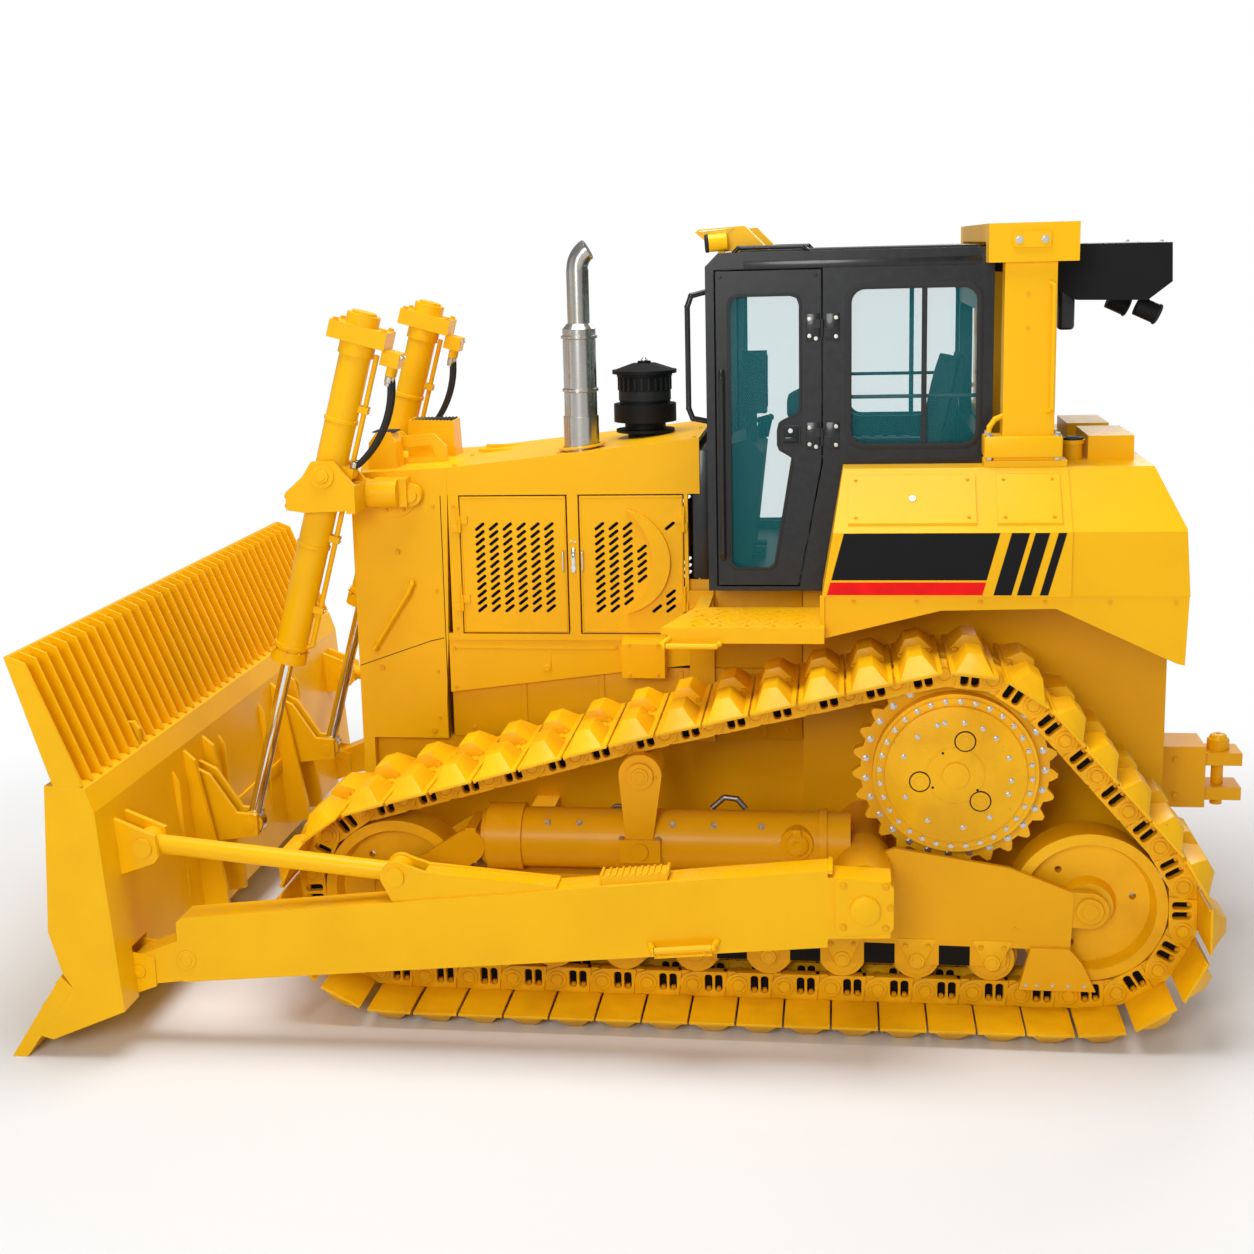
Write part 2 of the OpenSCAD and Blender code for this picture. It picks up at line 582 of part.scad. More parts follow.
module cab_shell() difference() {
    plate_xz(-cab_y, cab_y) polygon([[cab_front, cab_z0], [cab_front, cab_z1 - 60],
        [cab_front - 60, cab_z1],
        [cab_back, cab_z1], [cab_back, 2560], [cab_back + 100, cab_z0]]);
    block(cab_back + cab_t, cab_front - cab_t, -cab_y + cab_t, cab_y - cab_t, cab_z0 + cab_t,
        cab_z1 - cab_t);
    both_sides() plate_xz(cab_y - cab_t - 1, cab_y + 1) door_outline(0);
    both_sides() plate_xz(cab_y - cab_t - 1, cab_y + 1) side_window_outline(0);
    plate_yz(cab_front - cab_t - 1, cab_front + 1) front_window_outline(0);
    plate_yz(cab_back - 1, cab_back + cab_t + 1) rear_window_outline(0);
}
module cab_glass() in_frame() color("#9fc4cc") {
    both_sides() plate_xz(cab_y - 30, cab_y - 30 + glass_t) side_window_outline(0.5);
    plate_yz(cab_front - 30, cab_front - 30 + glass_t) front_window_outline(0.5);
    plate_yz(cab_back + 24, cab_back + 24 + glass_t) rear_window_outline(0.5);
}
module cab_door(s) in_frame() on_side(s) color(black) {
    difference() {
        plate_xz(cab_y - 40, cab_y) door_outline(door_gap);
        plate_xz(cab_y - 41, cab_y + 1) pane_outline(0);
    }
    for (z = cab_hinge_z) knuckle(door_x0 + 4, cab_y, z + knuckle_h + running_gap, 1);
    pipe([[1668, cab_y - 10, 3000], [1668, cab_y + 34, 2996], [1668, cab_y + 44, 2970],
        [1668, cab_y + 44, 2150],
        [1668, cab_y + 34, 2124], [1668, cab_y - 10, 2120]], 12);
    block(1305, 1386, cab_y - 20, cab_y + 16, 2656, 2744);
}
module cab_door_left() cab_door(1);
module cab_door_right() cab_door(-1);
module door_glass(s) in_frame() on_side(s) color("#9fc4cc") plate_xz(cab_y - 25, cab_y - 25 + glass_t)
    pane_outline(0.5);
module door_glass_left() door_glass(1);
module door_glass_right() door_glass(-1);

seat_x = 620;
module seat() in_frame() color("#2b2d30") union() {
    block(seat_x + 80, seat_x + 380, -170, 170, cab_z0 + cab_t, 2330);
    block(seat_x, seat_x + 520, -260, 260, 2330, 2460);
    plate_xz(-250, 250) polygon([[seat_x, 2459], [seat_x + 120, 2459], [seat_x, 3040],
        [seat_x - 105, 3040]]);
    both_sides() block(seat_x + 40, seat_x + 470, 261, 330, 2500, 2570);
    both_sides() block(seat_x + 50, seat_x + 120, 240, 300, 2400, 2520);
}
module console() in_frame() color("#2b2d30") union() {
    plate_xz(-330, 330) polygon([[cab_front - cab_t, cab_z0 + cab_t], [cab_front - cab_t, 2600],
        [1560, 2640], [1500, 2560], [1560, cab_z0 + cab_t]]);
    block(1480, 1600, 200, 330, 2760, 3060);
    block(1530, 1580, 240, 290, 2600, 2762);
    both_sides() {
        block(seat_x + 60, 1240, 345, 480, cab_z0 + cab_t, 2540);
        rod_to([1170, 410, 2539], [1210, 410, 2690], 11);
        translate([1212, 410, 2700]) sphere(r = 27, $fn = 32);
    }
}

rops_post = [171, 398];
module rops_frame() in_frame() color(yellow) union() {
    both_sides() {
        block(rops_post[0], rops_post[1], 800, 930, 2579, 3480);
        block(112, 476, 790, 945, 2560, 2590);
        block(140, 436, 796, 938, 2589, 2630);
        block(82, 472, 790, 960, 3470, 3561);
        block(205, 370, 959, 970, 3532, 3602);
        pipe([[rops_post[1] - 5, 905, 2790], [430, 915, 2775], [455, 920, 2740], [470, 922, 2585]], 12);
    }
    block(82, 472, -960, 960, 3560, 3640);
}
module roof_unit() in_frame() color(black) union() {
    plate_xz(-520, 520) polygon([[-392, 3360], [-386, 3537], [cab_back, 3541], [cab_back, 3425],
        [140, 3400],
        [130, 3340], [35, 3284], [-284, 3277]]);
    both_sides() {
        block(-300, -262, 440, 470, 3230, 3300);
        rod_to([-245, 455, 3252], [-330, 455, 3212], 46);
    }
}
lamp_z = 3592;
module roof_lamps() in_frame() color(yellow) both_sides() {
    plate_xz(520, 700) polygon([[1450, cab_z1 + 10], [roof_panel_x1 + 2, cab_z1 + 10], [1680, cab_z1 + 4],
        [1790, 3638], [1770, 3650], [1560, 3662]]);
    block(roof_panel_x1 + 2, roof_panel_x1 + 42, 640, 700, cab_z1, cab_z1 + 30);
    rod_to([1640, 738, lamp_z], [1725, 748, lamp_z - 6], 40);
    block(1650, 1680, 700, 740, cab_z1, lamp_z - 10);
}

// Fenders, tank and platforms
tank_x1 = 108;
function fender_section(y) = [[cab_y + 2, 2010], [y, 2010], [y, shoulder_z], [y - 230, 2560],
    [cab_y + 2, 2560]];
module fender_body(x0, x1) translate([x1, 0, 0]) rotate([90, 0, -90]) linear_extrude(x1 - x0) polygon(
    [for (p = fender_section(fender_y)) [-p[0], p[1]]]);
// A point on the fender's slope, a share of the way up and some way out of it
function on_slope(share, out) = [fender_y - 230 * share + out * 0.749, shoulder_z + (2560 - shoulder_z)
    * share + out * 0.663];
module slope_cover(x0, x1, out) plate_yz(x0, x1) polygon([on_slope(0.1, -2), on_slope(0.13, out),
    on_slope(0.88, out), on_slope(0.91, -2)]);
platform_z = 1880;
platform_y = 1250;
platform_x1 = 1926;
module fenders() in_frame() color(yellow) both_sides() union() {
    difference() {
        union() {
            fender_body(tank_x1, 1200);
            slope_cover(520, 1085, 10);
            slope_cover(150, 430, 10);
        }
        plate_xz(cab_y, fender_y + 20) polygon([[1201, 2000], [1199, 2018], [1108, 2561], [1201, 2561]]);
    }
    plate_xz(fender_y - 26, fender_y - 12) polygon([[1211, 1811], [1211, 2011], [-398, 2011],
        [-388, 1700],
        [-353, 1708], [171, 1955], [673, 1945]]);
    translate([0, 0, platform_z - 30]) linear_extrude(30) polygon([[1190, cab_y + 2], [1190, platform_y],
        [platform_x1, platform_y],
        [1806, cab_y + 2], [1806, hood_y], [cab_front + 2, hood_y], [cab_front + 2, cab_y + 2]]);
    block(1190, platform_x1 - 30, platform_y - sheet_t, platform_y, platform_z - 72, platform_z - 29);
    pipe([[platform_x1 - 40, platform_y - 8, 1830], [platform_x1 - 8, platform_y + 30, 1812],
        [platform_x1 - 20, platform_y + 52, 1806],
        [1675, platform_y + 52, 1806], [1660, platform_y + 30, 1812], [1690, platform_y - 8, 1830]], 13);
    block(1190, 1200, cab_y + 2, fender_y, platform_z - 1, 2019);
}
module rear_tank() in_frame() color(yellow) {
    plate_xz(-cab_y, cab_y) polygon([[-405, tank_z0], [-401, 2012], [tank_x1, 2012], [tank_x1, tank_z0]]);
    intersection() {
        plate_xz(-fender_y, fender_y) polygon([[-400, 2011], [-378, 2313], [-268, 2560], [tank_x1, 2560],
            [tank_x1, 2011]]);
        plate_yz(-450, tank_x1) polygon([[fender_y - 8, 2011], [fender_y - 8, shoulder_z],
            [fender_y - 238, 2560],
            [238 - fender_y, 2560], [8 - fender_y, shoulder_z], [8 - fender_y, 2011]]);
    }
    block(-215, -10, 250, 700, 2559, 2672);
    block(-215, -10, -520, -100, 2559, 2650);
    rod_z(55, 640, 2559, 2632, 48);
    rod_z(55, 640, 2631, 2650, 56);
}

module drawbar() in_frame() color(yellow) difference() {
    union() {
        block(-705, hull_back, -130, 130, 716, 1033);
        block(-drawbar_end, -700, -90, 90, 925, 990);
        block(-drawbar_end, -700, -90, 90, 744, 810);
    }
    rod_z(-787, 0, 700, 1000, 30 + running_gap);
}
module hitch_pin() in_frame() color(yellow) union() {
    rod_z(-787, 0, 700, 1000, 30);
    rod_z(-787, 0, 990.3, 1040, 55);
}

// Lift cylinder yokes on the radiator guard
snout_z = 2412;
module lift_yokes() in_frame() color(yellow) both_sides() difference() {
    union() {
        for (y = [-125, 95]) plate_xz(lift_y + y, lift_y + y + 30)
            polygon([[3445, 2360], [3445, 2480], [3545, 2600], [3655, 2600], [3700, 2530], [3790, 2452],
                [3790, 2366], [3700, 2352]]);
        for (y = [-137, 124]) rod_y(yoke_x, yoke_z, lift_y + y, lift_y + y + 13, 58);
        block(3445, 3490, 500, lift_y + 125, 2345, 2480);
        block(3764, 3790, lift_y - 125, lift_y + 125, 2366, 2452);
        rod_x(575, snout_z, 3290, 3446, 70);
        link_xz([3395, snout_z], 68, [3240, snout_z - 18], 55, hood_y + 12, hood_y + 60);
        block(3250, 3420, hood_y + 12, 576, 2342, 2482);
        rod_y(3240, snout_z - 18, hood_y + 59, hood_y + 76, 34);
    }
    rod_y(yoke_x, yoke_z, lift_y - 138, lift_y + 138, 34 + running_gap);
}

// Lift cylinders, drawn upright on the Z axis with the yoke's pivot at the origin
port_y = 30;
port_x = -192;
port_z = 585;
pipe_x = -barrel_r - 26;
module at_lift(s) translate([yoke_x, s * lift_y, yoke_z]) rotate([0, -lift_lean, 0]) children();
module lift_barrel(s) in_frame() at_lift(s) color(yellow) difference() {
    union() {
        rod_z(0, 0, -barrel_down, barrel_up, barrel_r);
        rod_z(0, 0, -barrel_down, -barrel_down + 60, barrel_r + 12);
        rod_z(0, 0, -barrel_down + 75, -barrel_down + 95, barrel_r + 8);
        rod_z(0, 0, barrel_up - 125, barrel_up - 60, barrel_r + 10);
        translate([-150, -92, barrel_up - 62]) cube([288, 184, 84]);
        rod_z(0, 0, barrel_up + 21, barrel_up + 75, 82);
        rod_z(0, 0, barrel_up + 74, barrel_up + 88, 60);
        translate([port_x - 34, -56, port_z + 1]) cube([90, 112, 74]);
        for (y = [-port_y, port_y]) rod_z(port_x, y, port_z - 44, port_z + 2, 21);
        rotate([90, 0, 0]) translate([0, 0, -120]) cylinder(h = 240, r = 34, $fn = 48);
        rod_z(pipe_x, 0, -barrel_down + 110, barrel_up - 100, 13);
        rod_to([pipe_x, 0, -barrel_down + 110], [-barrel_r + 8, 0, -barrel_down + 84], 13);
        translate([pipe_x, 0, -barrel_down + 110]) sphere(r = 13 + joint_over, $fn = 32);
        for (z = [-700, -330, 330]) translate([pipe_x - 20, -24, z]) cube([60, 48, 34]);
        translate([pipe_x - 22, -48, 8]) cube([66, 96, 50]);
    }
    rod_z(0, 0, -barrel_down + 80, barrel_up - 20, bore_r);
    rod_z(0, 0, -barrel_down - 1, -barrel_down + 81, rod_r + running_gap);
}
// Two hoses from the port block down to the manifold over the yoke, bowed to the rear
hose_r = 13;
hose_top = [port_x, port_z - 44];
hose_low = [pipe_x - 14, 58];
hose_bow = 62;
hose_chord = norm(hose_top - hose_low);
hose_bend_r = hose_chord * hose_chord / (8 * hose_bow) + hose_bow / 2;
hose_turn = 2 * asin(hose_chord / 2 / hose_bend_r);
hose_lean = atan2(hose_top[1] - hose_low[1], hose_top[0] - hose_low[0]);
hose_mid = (hose_top + hose_low) / 2 + (hose_bend_r - hose_bow) * dir(hose_lean - 90);
hose_seat = 0.4;
// Turn by which an end that leans over its fitting stops short of the fitting's face
function hose_stop(tilt) = (hose_r * sin(tilt) + hose_seat) / cos(tilt) / hose_bend_r * 180 / PI;
stop_top = hose_stop(hose_turn / 2 + 90 - hose_lean);
stop_low = hose_stop(hose_turn / 2 - 90 + hose_lean);
module lift_hoses(s) in_frame() at_lift(s) color(black) for (y = [-port_y, port_y])
    translate([hose_mid[0], y, hose_mid[1]]) rotate([90, 0, 0])
        rotate([0, 0, hose_lean + 90 - hose_turn / 2 + stop_top])
        rotate_extrude(angle = hose_turn - stop_top - stop_low, $fn = 96) translate([hose_bend_r, 0])
            circle(r = hose_r, $fn = 24);
module lift_hoses_left() lift_hoses(1);
module lift_hoses_right() lift_hoses(-1);
module lift_barrel_left() lift_barrel(1);
module lift_barrel_right() lift_barrel(-1);
module lift_rod(s) in_frame() at_lift(s) color("silver") difference() {
    union() {
        rod_z(0, 0, -lift_len + 40, -lift_len + rod_len, rod_r);
        rod_z(0, 0, -lift_len + rod_len - 60, -lift_len + rod_len, bore_r - running_gap);
        translate([0, -30, -lift_len]) rotate([-90, 0, 0]) cylinder(h = 60, r = 66, $fn = 48);
    }
    translate([0, -31, -lift_len]) rotate([-90, 0, 0]) cylinder(h = 62, r = eye_pin_r + 14, $fn = 48);
}
module lift_rod_left() lift_rod(1);
module lift_rod_right() lift_rod(-1);

// Blade
// Lifting ears on the top beam, each between two ribs of the rack
ear_y = 1210;
face_r = 907;
edge_back = [4567, 345];
// A point on the back of the cutting edge at height z
function on_edge(z) = [edge_back[0] + (edge_back[1] - z) * 0.719, z];
module blade_section() polygon([[4621, blade_h], [4460, blade_h], [4434, 1285], back_high, back_low,
    [4681, 90],
    on_edge(105), edge_back, [4600, 400], [4640, 420]]);
module blade_shell() in_frame() color(yellow) union() {
    difference() {
        plate_xz(-blade_w / 2 + end_plate_t - 1, blade_w / 2 - end_plate_t + 1) blade_section();
        rod_y(4490 + face_r, 814, -blade_w, blade_w, face_r, 180);
        both_sides() block(4200, arm_pin[0] + 100, arm_y0 - 10, arm_y1 + 10, 200, 480);
    }
    both_sides() plate_xz(blade_w / 2 - end_plate_t, blade_w / 2)
        polygon([[4621, blade_h], [4460, blade_h], [4434, 1285],
        back_high, back_low,
        [4681, 90], on_edge(105), edge_back, [4609, 410], [4663, 610]]);
    both_sides() for (y = [-66, 36]) plate_xz(lift_y + y, lift_y + y + 30)
        polygon([[4370, 640], [4400, 1050], [4300, 1000], [4170, 800], [4060, 790], [4060, 680]]);
    both_sides() rod_y(eye_x, eye_z, lift_y - 70, lift_y + 70, eye_pin_r);
    both_sides() for (y = [-10, arm_w]) plate_xz(arm_y0 + y, arm_y0 + y + 10) difference() {
        polygon([[4240, 290], [4240, 430], [4430, 470], [4430, 220]]);
        translate(arm_pin) circle(r = arm_boss_r + running_gap, $fn = 48);
    }
    both_sides() for (y = [0, arm_w - 30]) plate_xz(arm_y0 + y, arm_y0 + y + 30)
        polygon([[4390, 820], [4395, 1090], [4250, 1030], [4200, 1010], [4190, 910], [4215, 880]]);
    both_sides() rod_y(brace_front[0], brace_front[1], arm_y0 - 14, arm_y0 + 1, 46);
    both_sides() rod_y(brace_front[0], brace_front[1], arm_y1 - 1, arm_y1 + 14, 46);
    both_sides() for (y = [-150, 120]) plate_xz(lift_y + y, lift_y + y + 30)
        polygon([[4370, 300], [4396, 1150], [4340, 1100], [4210, 420], [4210, 330]]);
    both_sides() plate_xz(ear_y, ear_y + 35) difference() {
        polygon([[4452, blade_h - 2], [4452, 1370], [4475, 1405], [4515, 1405], [4540, 1370],
            [4540, blade_h - 2]]);
        translate([4496, 1362]) circle(r = 20, $fn = 32);
    }
}
module blade_rack() in_frame() color(yellow) union() {
    plate_xz(-blade_w / 2, blade_w / 2) polygon([[4562, blade_h], [4580, blade_h], [4758, rack_h],
        [4740, rack_h]]);
    ribs = floor((blade_w - rib_t) / rib_pitch);
    for (i = [0:ribs]) {
        y = -blade_w / 2 + i * (blade_w - rib_t) / ribs;
        plate_xz(y, y + rib_t) polygon([[4566, blade_h], [4440, blade_h], [4664, rack_h - 30],
            [4742, rack_h]]);
    }
}
module cutting_edge() in_frame() color(yellow)
    plate_xz(-blade_w / 2, blade_w / 2) polygon([[4622, 399], [blade_tip_x, 0], on_edge(0), edge_back]);

// Push arms from the trunnions to the blade's lower pins
strut_eye_r = 62;
module push_arm(s) in_frame() on_side(s) color(yellow) difference() {
    union() {
        plate_xz(arm_y0, arm_y1) polygon([[trunnion_x + 160, trunnion_z - 180],
            [trunnion_x + 160, trunnion_z + 170],
            [2860, 750], [4105, 621], [4130, 600], [4130, 330], [4105, 311]]);
        link_xz([4090, 420], 100, arm_pin, 70, arm_y0, arm_y1);
        plate_xz(arm_y0, arm_y1) polygon([[trunnion_x - 110, trunnion_z - 130],
            [trunnion_x - 110, trunnion_z + 130],
            [trunnion_x + 161, trunnion_z + 140], [trunnion_x + 161, trunnion_z - 140]]);
        for (y = [arm_y0 + 10, arm_y1 - 35]) {
            link_xz(brace_back, 70, [brace_back[0] - 60, 700], 60, y, y + 25);
            plate_xz(y, y + 25) polygon([[3100, 700], [3084, brace_back[1] + 69],
                [2960, brace_back[1] + 26], [2360, 815], [2360, 770]]);
        }
        plate_xz(arm_y0 + 35, arm_y1 - 35) polygon([[2960, 720], [2960, brace_back[1] + 20], [2360, 812],
            [2360, 770]]);
        rod_y(brace_back[0], brace_back[1], arm_y1 - 11, arm_y1 + 6, 42);
        plate_xz(arm_y0 + 24, arm_y1 - 24) polygon([[1868, 850], [1868, 884], [2160, 856], [2160, 820]]);
        pipe([[1948, arm_y1 - 2, 560], [1930, arm_y1 + 44, 548], [1668, arm_y1 + 44, 572],
            [1650, arm_y1 - 2, 586]], 15);
        plate_xz(arm_y1 - 1, arm_y1 + 34) polygon([[1672, 530], [1672, 542], [1926, 520], [1926, 508]]);
        plate_xz(arm_y1 - 8, arm_y1 + 16) polygon([[910, 650], [890, 670], [890, 850], [915, 880],
            [1110, 892], [1140, 870],
            [1140, 650], [1118, 628]]);
        rod_y(trunnion_x, trunnion_z, arm_y1 + 15, arm_y1 + 30, 66);
        rod_y(arm_pin[0], arm_pin[1], arm_y0 - 8, arm_y1 + 8, arm_boss_r);
    }
    rod_y(trunnion_x, trunnion_z, arm_y0 - 1, arm_y1 - 15, trunnion_r + running_gap);
}
module push_arm_left() push_arm(1);
module push_arm_right() push_arm(-1);
brace_tilt = atan2(brace_front[1] - brace_back[1], brace_front[0] - brace_back[0]);
module tilt_struts() in_frame() color(yellow) both_sides() union() {
    rod_y(brace_back[0], brace_back[1], arm_y0 + 35, arm_y1 - 35, strut_eye_r);
    translate([brace_back[0], arm_y0 + arm_w / 2, brace_back[1]]) rotate([0, 90 - brace_tilt, 0])
        rod_z(0, 0, 0, norm(brace_front - brace_back), 44);
    rod_y(brace_front[0], brace_front[1], arm_y0 + 30, arm_y1 - 30, strut_eye_r);
}

// Engine doors, left and right, front and rear: slanted slots with round ends, and
// on the rear doors a crescent scoop that is pressed outwards
slot_len = 44;
slot_w = 16;
slot_lean = 39;
slot_cols = 6;
slot_rows = 12;
slot_x = 70;
slot_z = 37.8;
slot_low = 1810;
scoop_z = 2050;
scoop_out = [2215, 264];
scoop_in = [2368, 327];
module slot() rotate(180 - slot_lean) polygon([[-slot_len / 2 - 8, -3], [-slot_len / 2 - 8, 3],
    [-slot_len / 2 - 3, slot_w / 2],
    [slot_len / 2 + 3, slot_w / 2], [slot_len / 2 + 8, 3], [slot_len / 2 + 8, -3],
        [slot_len / 2 + 3, -slot_w / 2],
    [-slot_len / 2 - 3, -slot_w / 2]]);
// Whether a slot there would come too near the scoop
function at_scoop(x, z) = norm([x - scoop_out[0], z - scoop_z]) < scoop_out[1] + 36
    && norm([x - scoop_in[0], z - scoop_z]) > scoop_in[1] - 34;
module slots(x1, scooped) for (i = [0:slot_cols - 1], j = [0:slot_rows - 1]) {
    x = x1 - i * slot_x;
    z = slot_low + j * slot_z;
    if (!(scooped && at_scoop(x, z))) translate([x, z]) slot();
}
// hinge is -1 for hinges on the rear edge and 1 for the front edge
module engine_door(s, span, hinge) in_frame() on_side(s) color(yellow) {
    difference() {
        block(span[0], span[1], hood_y - door_t, hood_y, door_low, hood_low - 7);
        plate_xz(hood_y - door_t - 1, hood_y + 1) slots(span[1] - 98, hinge < 0);
        block(span[0] + 14, span[1] - 14, hood_y - door_t - 1, hood_y - 14, door_low + 14, hood_low - 21);
    }
    if (hinge < 0) plate_xz(hood_y - 2, hood_y + 26) difference() {
        translate([scoop_out[0], scoop_z]) circle(r = scoop_out[1], $fn = 96);
        translate([scoop_in[0], scoop_z]) circle(r = scoop_in[1], $fn = 96);
    }
    for (z = [1800, 2200]) knuckle(hinge < 0 ? span[0] - 3 : span[1] + 3, hood_y,
        z + knuckle_h + running_gap, -hinge);
}
module engine_door_left_front() engine_door(1, front_door, 1);
module engine_door_left_rear() engine_door(1, rear_door, -1);
module engine_door_right_front() engine_door(-1, front_door, 1);
module engine_door_right_rear() engine_door(-1, rear_door, -1);

main_frame();
engine_block();
radiator_guard();
hood();
side_panels();
exhaust_stack();
air_precleaner();
cab_frame();
cab_glass();
seat();
console();
rops_frame();
roof_unit();
roof_lamps();
fenders();
rear_tank();
track_frame_left();
track_frame_right();
track_left();
track_right();
sprockets();
idlers();
rollers();
drawbar();
hitch_pin();
lift_yokes();
cab_door_left();
cab_door_right();
door_glass_left();
door_glass_right();
engine_door_left_front();
engine_door_left_rear();
engine_door_right_front();
engine_door_right_rear();
blade_shell();
blade_rack();
cutting_edge();
push_arm_left();
push_arm_right();
tilt_struts();
lift_barrel_left();
lift_rod_left();
lift_hoses_left();
lift_barrel_right();
lift_rod_right();
lift_hoses_right();
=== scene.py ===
import math

import bmesh
import bpy
from mathutils import Matrix, Vector


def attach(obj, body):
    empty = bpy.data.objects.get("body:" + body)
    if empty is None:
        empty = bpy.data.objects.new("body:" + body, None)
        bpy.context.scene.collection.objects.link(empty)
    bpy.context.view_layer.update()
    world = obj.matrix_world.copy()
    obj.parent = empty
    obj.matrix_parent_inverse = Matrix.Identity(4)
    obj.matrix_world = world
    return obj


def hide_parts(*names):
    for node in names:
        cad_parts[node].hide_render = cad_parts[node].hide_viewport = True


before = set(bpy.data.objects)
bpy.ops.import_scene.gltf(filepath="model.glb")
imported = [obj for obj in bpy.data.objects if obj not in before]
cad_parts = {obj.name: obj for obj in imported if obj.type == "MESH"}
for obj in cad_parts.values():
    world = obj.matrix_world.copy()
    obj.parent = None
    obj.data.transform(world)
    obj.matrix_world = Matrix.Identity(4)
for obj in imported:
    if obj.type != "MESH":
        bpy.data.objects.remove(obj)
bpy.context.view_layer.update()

bl_info = {
    "name": "Bulldozer look",
    "version": (1, 0, 0),
    "blender": (4, 5, 0),
    "location": "View3D > Sidebar > Bulldozer",
    "description": "Dresses the packed bulldozer with its finishes and fine pieces",
    "category": "Object",
}

# The source's X, in millimetres from the rear idler's axle, less this is the row's X
MIDDLE_X = 1999.0


def at(x, y, z):
    """A point of the source, in millimetres, as a place in the row, in metres."""
    return Vector(((x - MIDDLE_X) / 1000, y / 1000, z / 1000))


# Shader maths

class Wire:
    """A socket that adds Math nodes when Python's operators are used on it."""

    def __init__(self, shader, socket):
        self.shader = shader
        self.socket = socket

    def math(self, operation, other=None, swap=False):
        values = [self] if other is None else ([other, self] if swap else [self, other])
        return self.shader.node("ShaderNodeMath", {"operation": operation}, dict(enumerate(values)))

    def __add__(self, other):
        return self.math("ADD", other)

    __radd__ = __add__

    def __rsub__(self, other):
        return self.math("SUBTRACT", other, True)

    def __mul__(self, other):
        return self.math("MULTIPLY", other)

    __rmul__ = __mul__


class Shader:
    """A new material and the nodes that are added to it."""

    def __init__(self, name):
        self.material = bpy.data.materials.new(name)
        self.material.use_nodes = True
        self.tree = self.material.node_tree
        self.surface = self.tree.nodes["Principled BSDF"]
        self.place = self.tree.nodes.new("ShaderNodeTexCoord").outputs["Object"]

    def feed(self, socket, value):
        if isinstance(value, Wire):
            value = value.socket
        if isinstance(value, bpy.types.NodeSocket):
            self.tree.links.new(value, socket)
        else:
            socket.default_value = value

    def node(self, kind, settings=None, values=None, output=0):
        new = self.tree.nodes.new(kind)
        for key, value in (settings or {}).items():
            setattr(new, key, value)
        for key, value in (values or {}).items():
            self.feed(new.inputs[key], value)
        return Wire(self, new.outputs[output])

    def noise(self, scale, detail=3.0, roughness=0.55):
        return self.node("ShaderNodeTexNoise", {}, {"Vector": self.place, "Scale": scale, "Detail": detail,
                                                    "Roughness": roughness})

    def wave(self, direction, scale, bend=0.0):
        """Soft stripes along one axis or the diagonal."""
        return self.node("ShaderNodeTexWave", {"wave_type": "BANDS", "bands_direction": direction},
                         {"Vector": self.place, "Scale": scale, "Distortion": bend})

    def mix(self, factor, first, second):
        node = self.node("ShaderNodeMix", {"data_type": "RGBA"}, {}, 2)
        inputs = node.socket.node.inputs
        self.feed(inputs[0], factor)
        self.feed(inputs[6], first)
        self.feed(inputs[7], second)
        return node

    def axes(self, vector=None):
        split = self.tree.nodes.new("ShaderNodeSeparateXYZ")
        self.feed(split.inputs[0], vector or self.place)
        return [Wire(self, split.outputs[i]) for i in range(3)]

    def ramp(self, factor, low, high):
        return self.node("ShaderNodeMapRange", {"interpolation_type": "SMOOTHSTEP"},
                         {"Value": factor, "From Min": low, "From Max": high})

    def set(self, **values):
        for name, value in values.items():
            self.feed(self.surface.inputs[name.replace("_", " ")], value)

    def relief(self, height, strength, distance, edge=None):
        """Bumps by height, over edges that look rounded where an edge radius is given."""
        values = {"Height": height, "Strength": strength, "Distance": distance}
        if edge is not None:
            values["Normal"] = self.node("ShaderNodeBevel", {"samples": 4}, {"Radius": edge})
        self.set(Normal=self.node("ShaderNodeBump", {}, values))


def rgb(code):
    """A hex colour as it is written, turned linear for the shader."""
    parts = [int(code[i:i + 2], 16) / 255 for i in (1, 3, 5)]
    return tuple(c / 12.92 if c <= 0.04045 else ((c + 0.055) / 1.055) ** 2.4 for c in parts) + (1.0,)


def shaded(colour, share):
    """A colour made darker or brighter, and still solid."""
    return tuple(c * share for c in colour[:3]) + (1.0,)


FINISH = {}


def finish(name):
    """Makes a finish the first time that it is asked for."""
    if name not in FINISH:
        FINISH[name] = MAKERS[name]()
    return FINISH[name]


def paint_shader(name, colour, dull=0.0, edge=0.0022):
    """Glossy machine enamel: a slight orange peel, patches of tone, and a painted highlight in pale cream
    patches that lies on tops.
    """
    s = Shader(name)
    patches = s.noise(1.7, 4.0)
    fine = s.noise(38.0, 2.0)
    peel = s.noise(420.0, 1.0)
    tone = s.mix(s.ramp(patches, 0.38, 0.68), colour, shaded(colour, 0.94))
    # Painted highlight: faces that look up are mixed in patches towards pale cream, as light from above would
    # brighten them, and are made rougher
    up = s.axes(s.node("ShaderNodeNewGeometry", output=1).socket)[2]
    painted_top_light = s.ramp(up, 0.75, 1.0) * s.ramp(fine * 0.5 + patches * 0.5, 0.42, 0.72) * (0.16 + dull)
    s.set(Base_Color=s.mix(painted_top_light, tone, rgb("#D8C088")),
          Roughness=0.30 + dull * 0.8 + fine * 0.10 + painted_top_light * 0.7,
          Coat_Weight=0.07 - dull * 0.5, Coat_Roughness=0.12, Specular_IOR_Level=0.16)
    s.relief(peel, 0.06, 0.0004, edge)
    return s.material


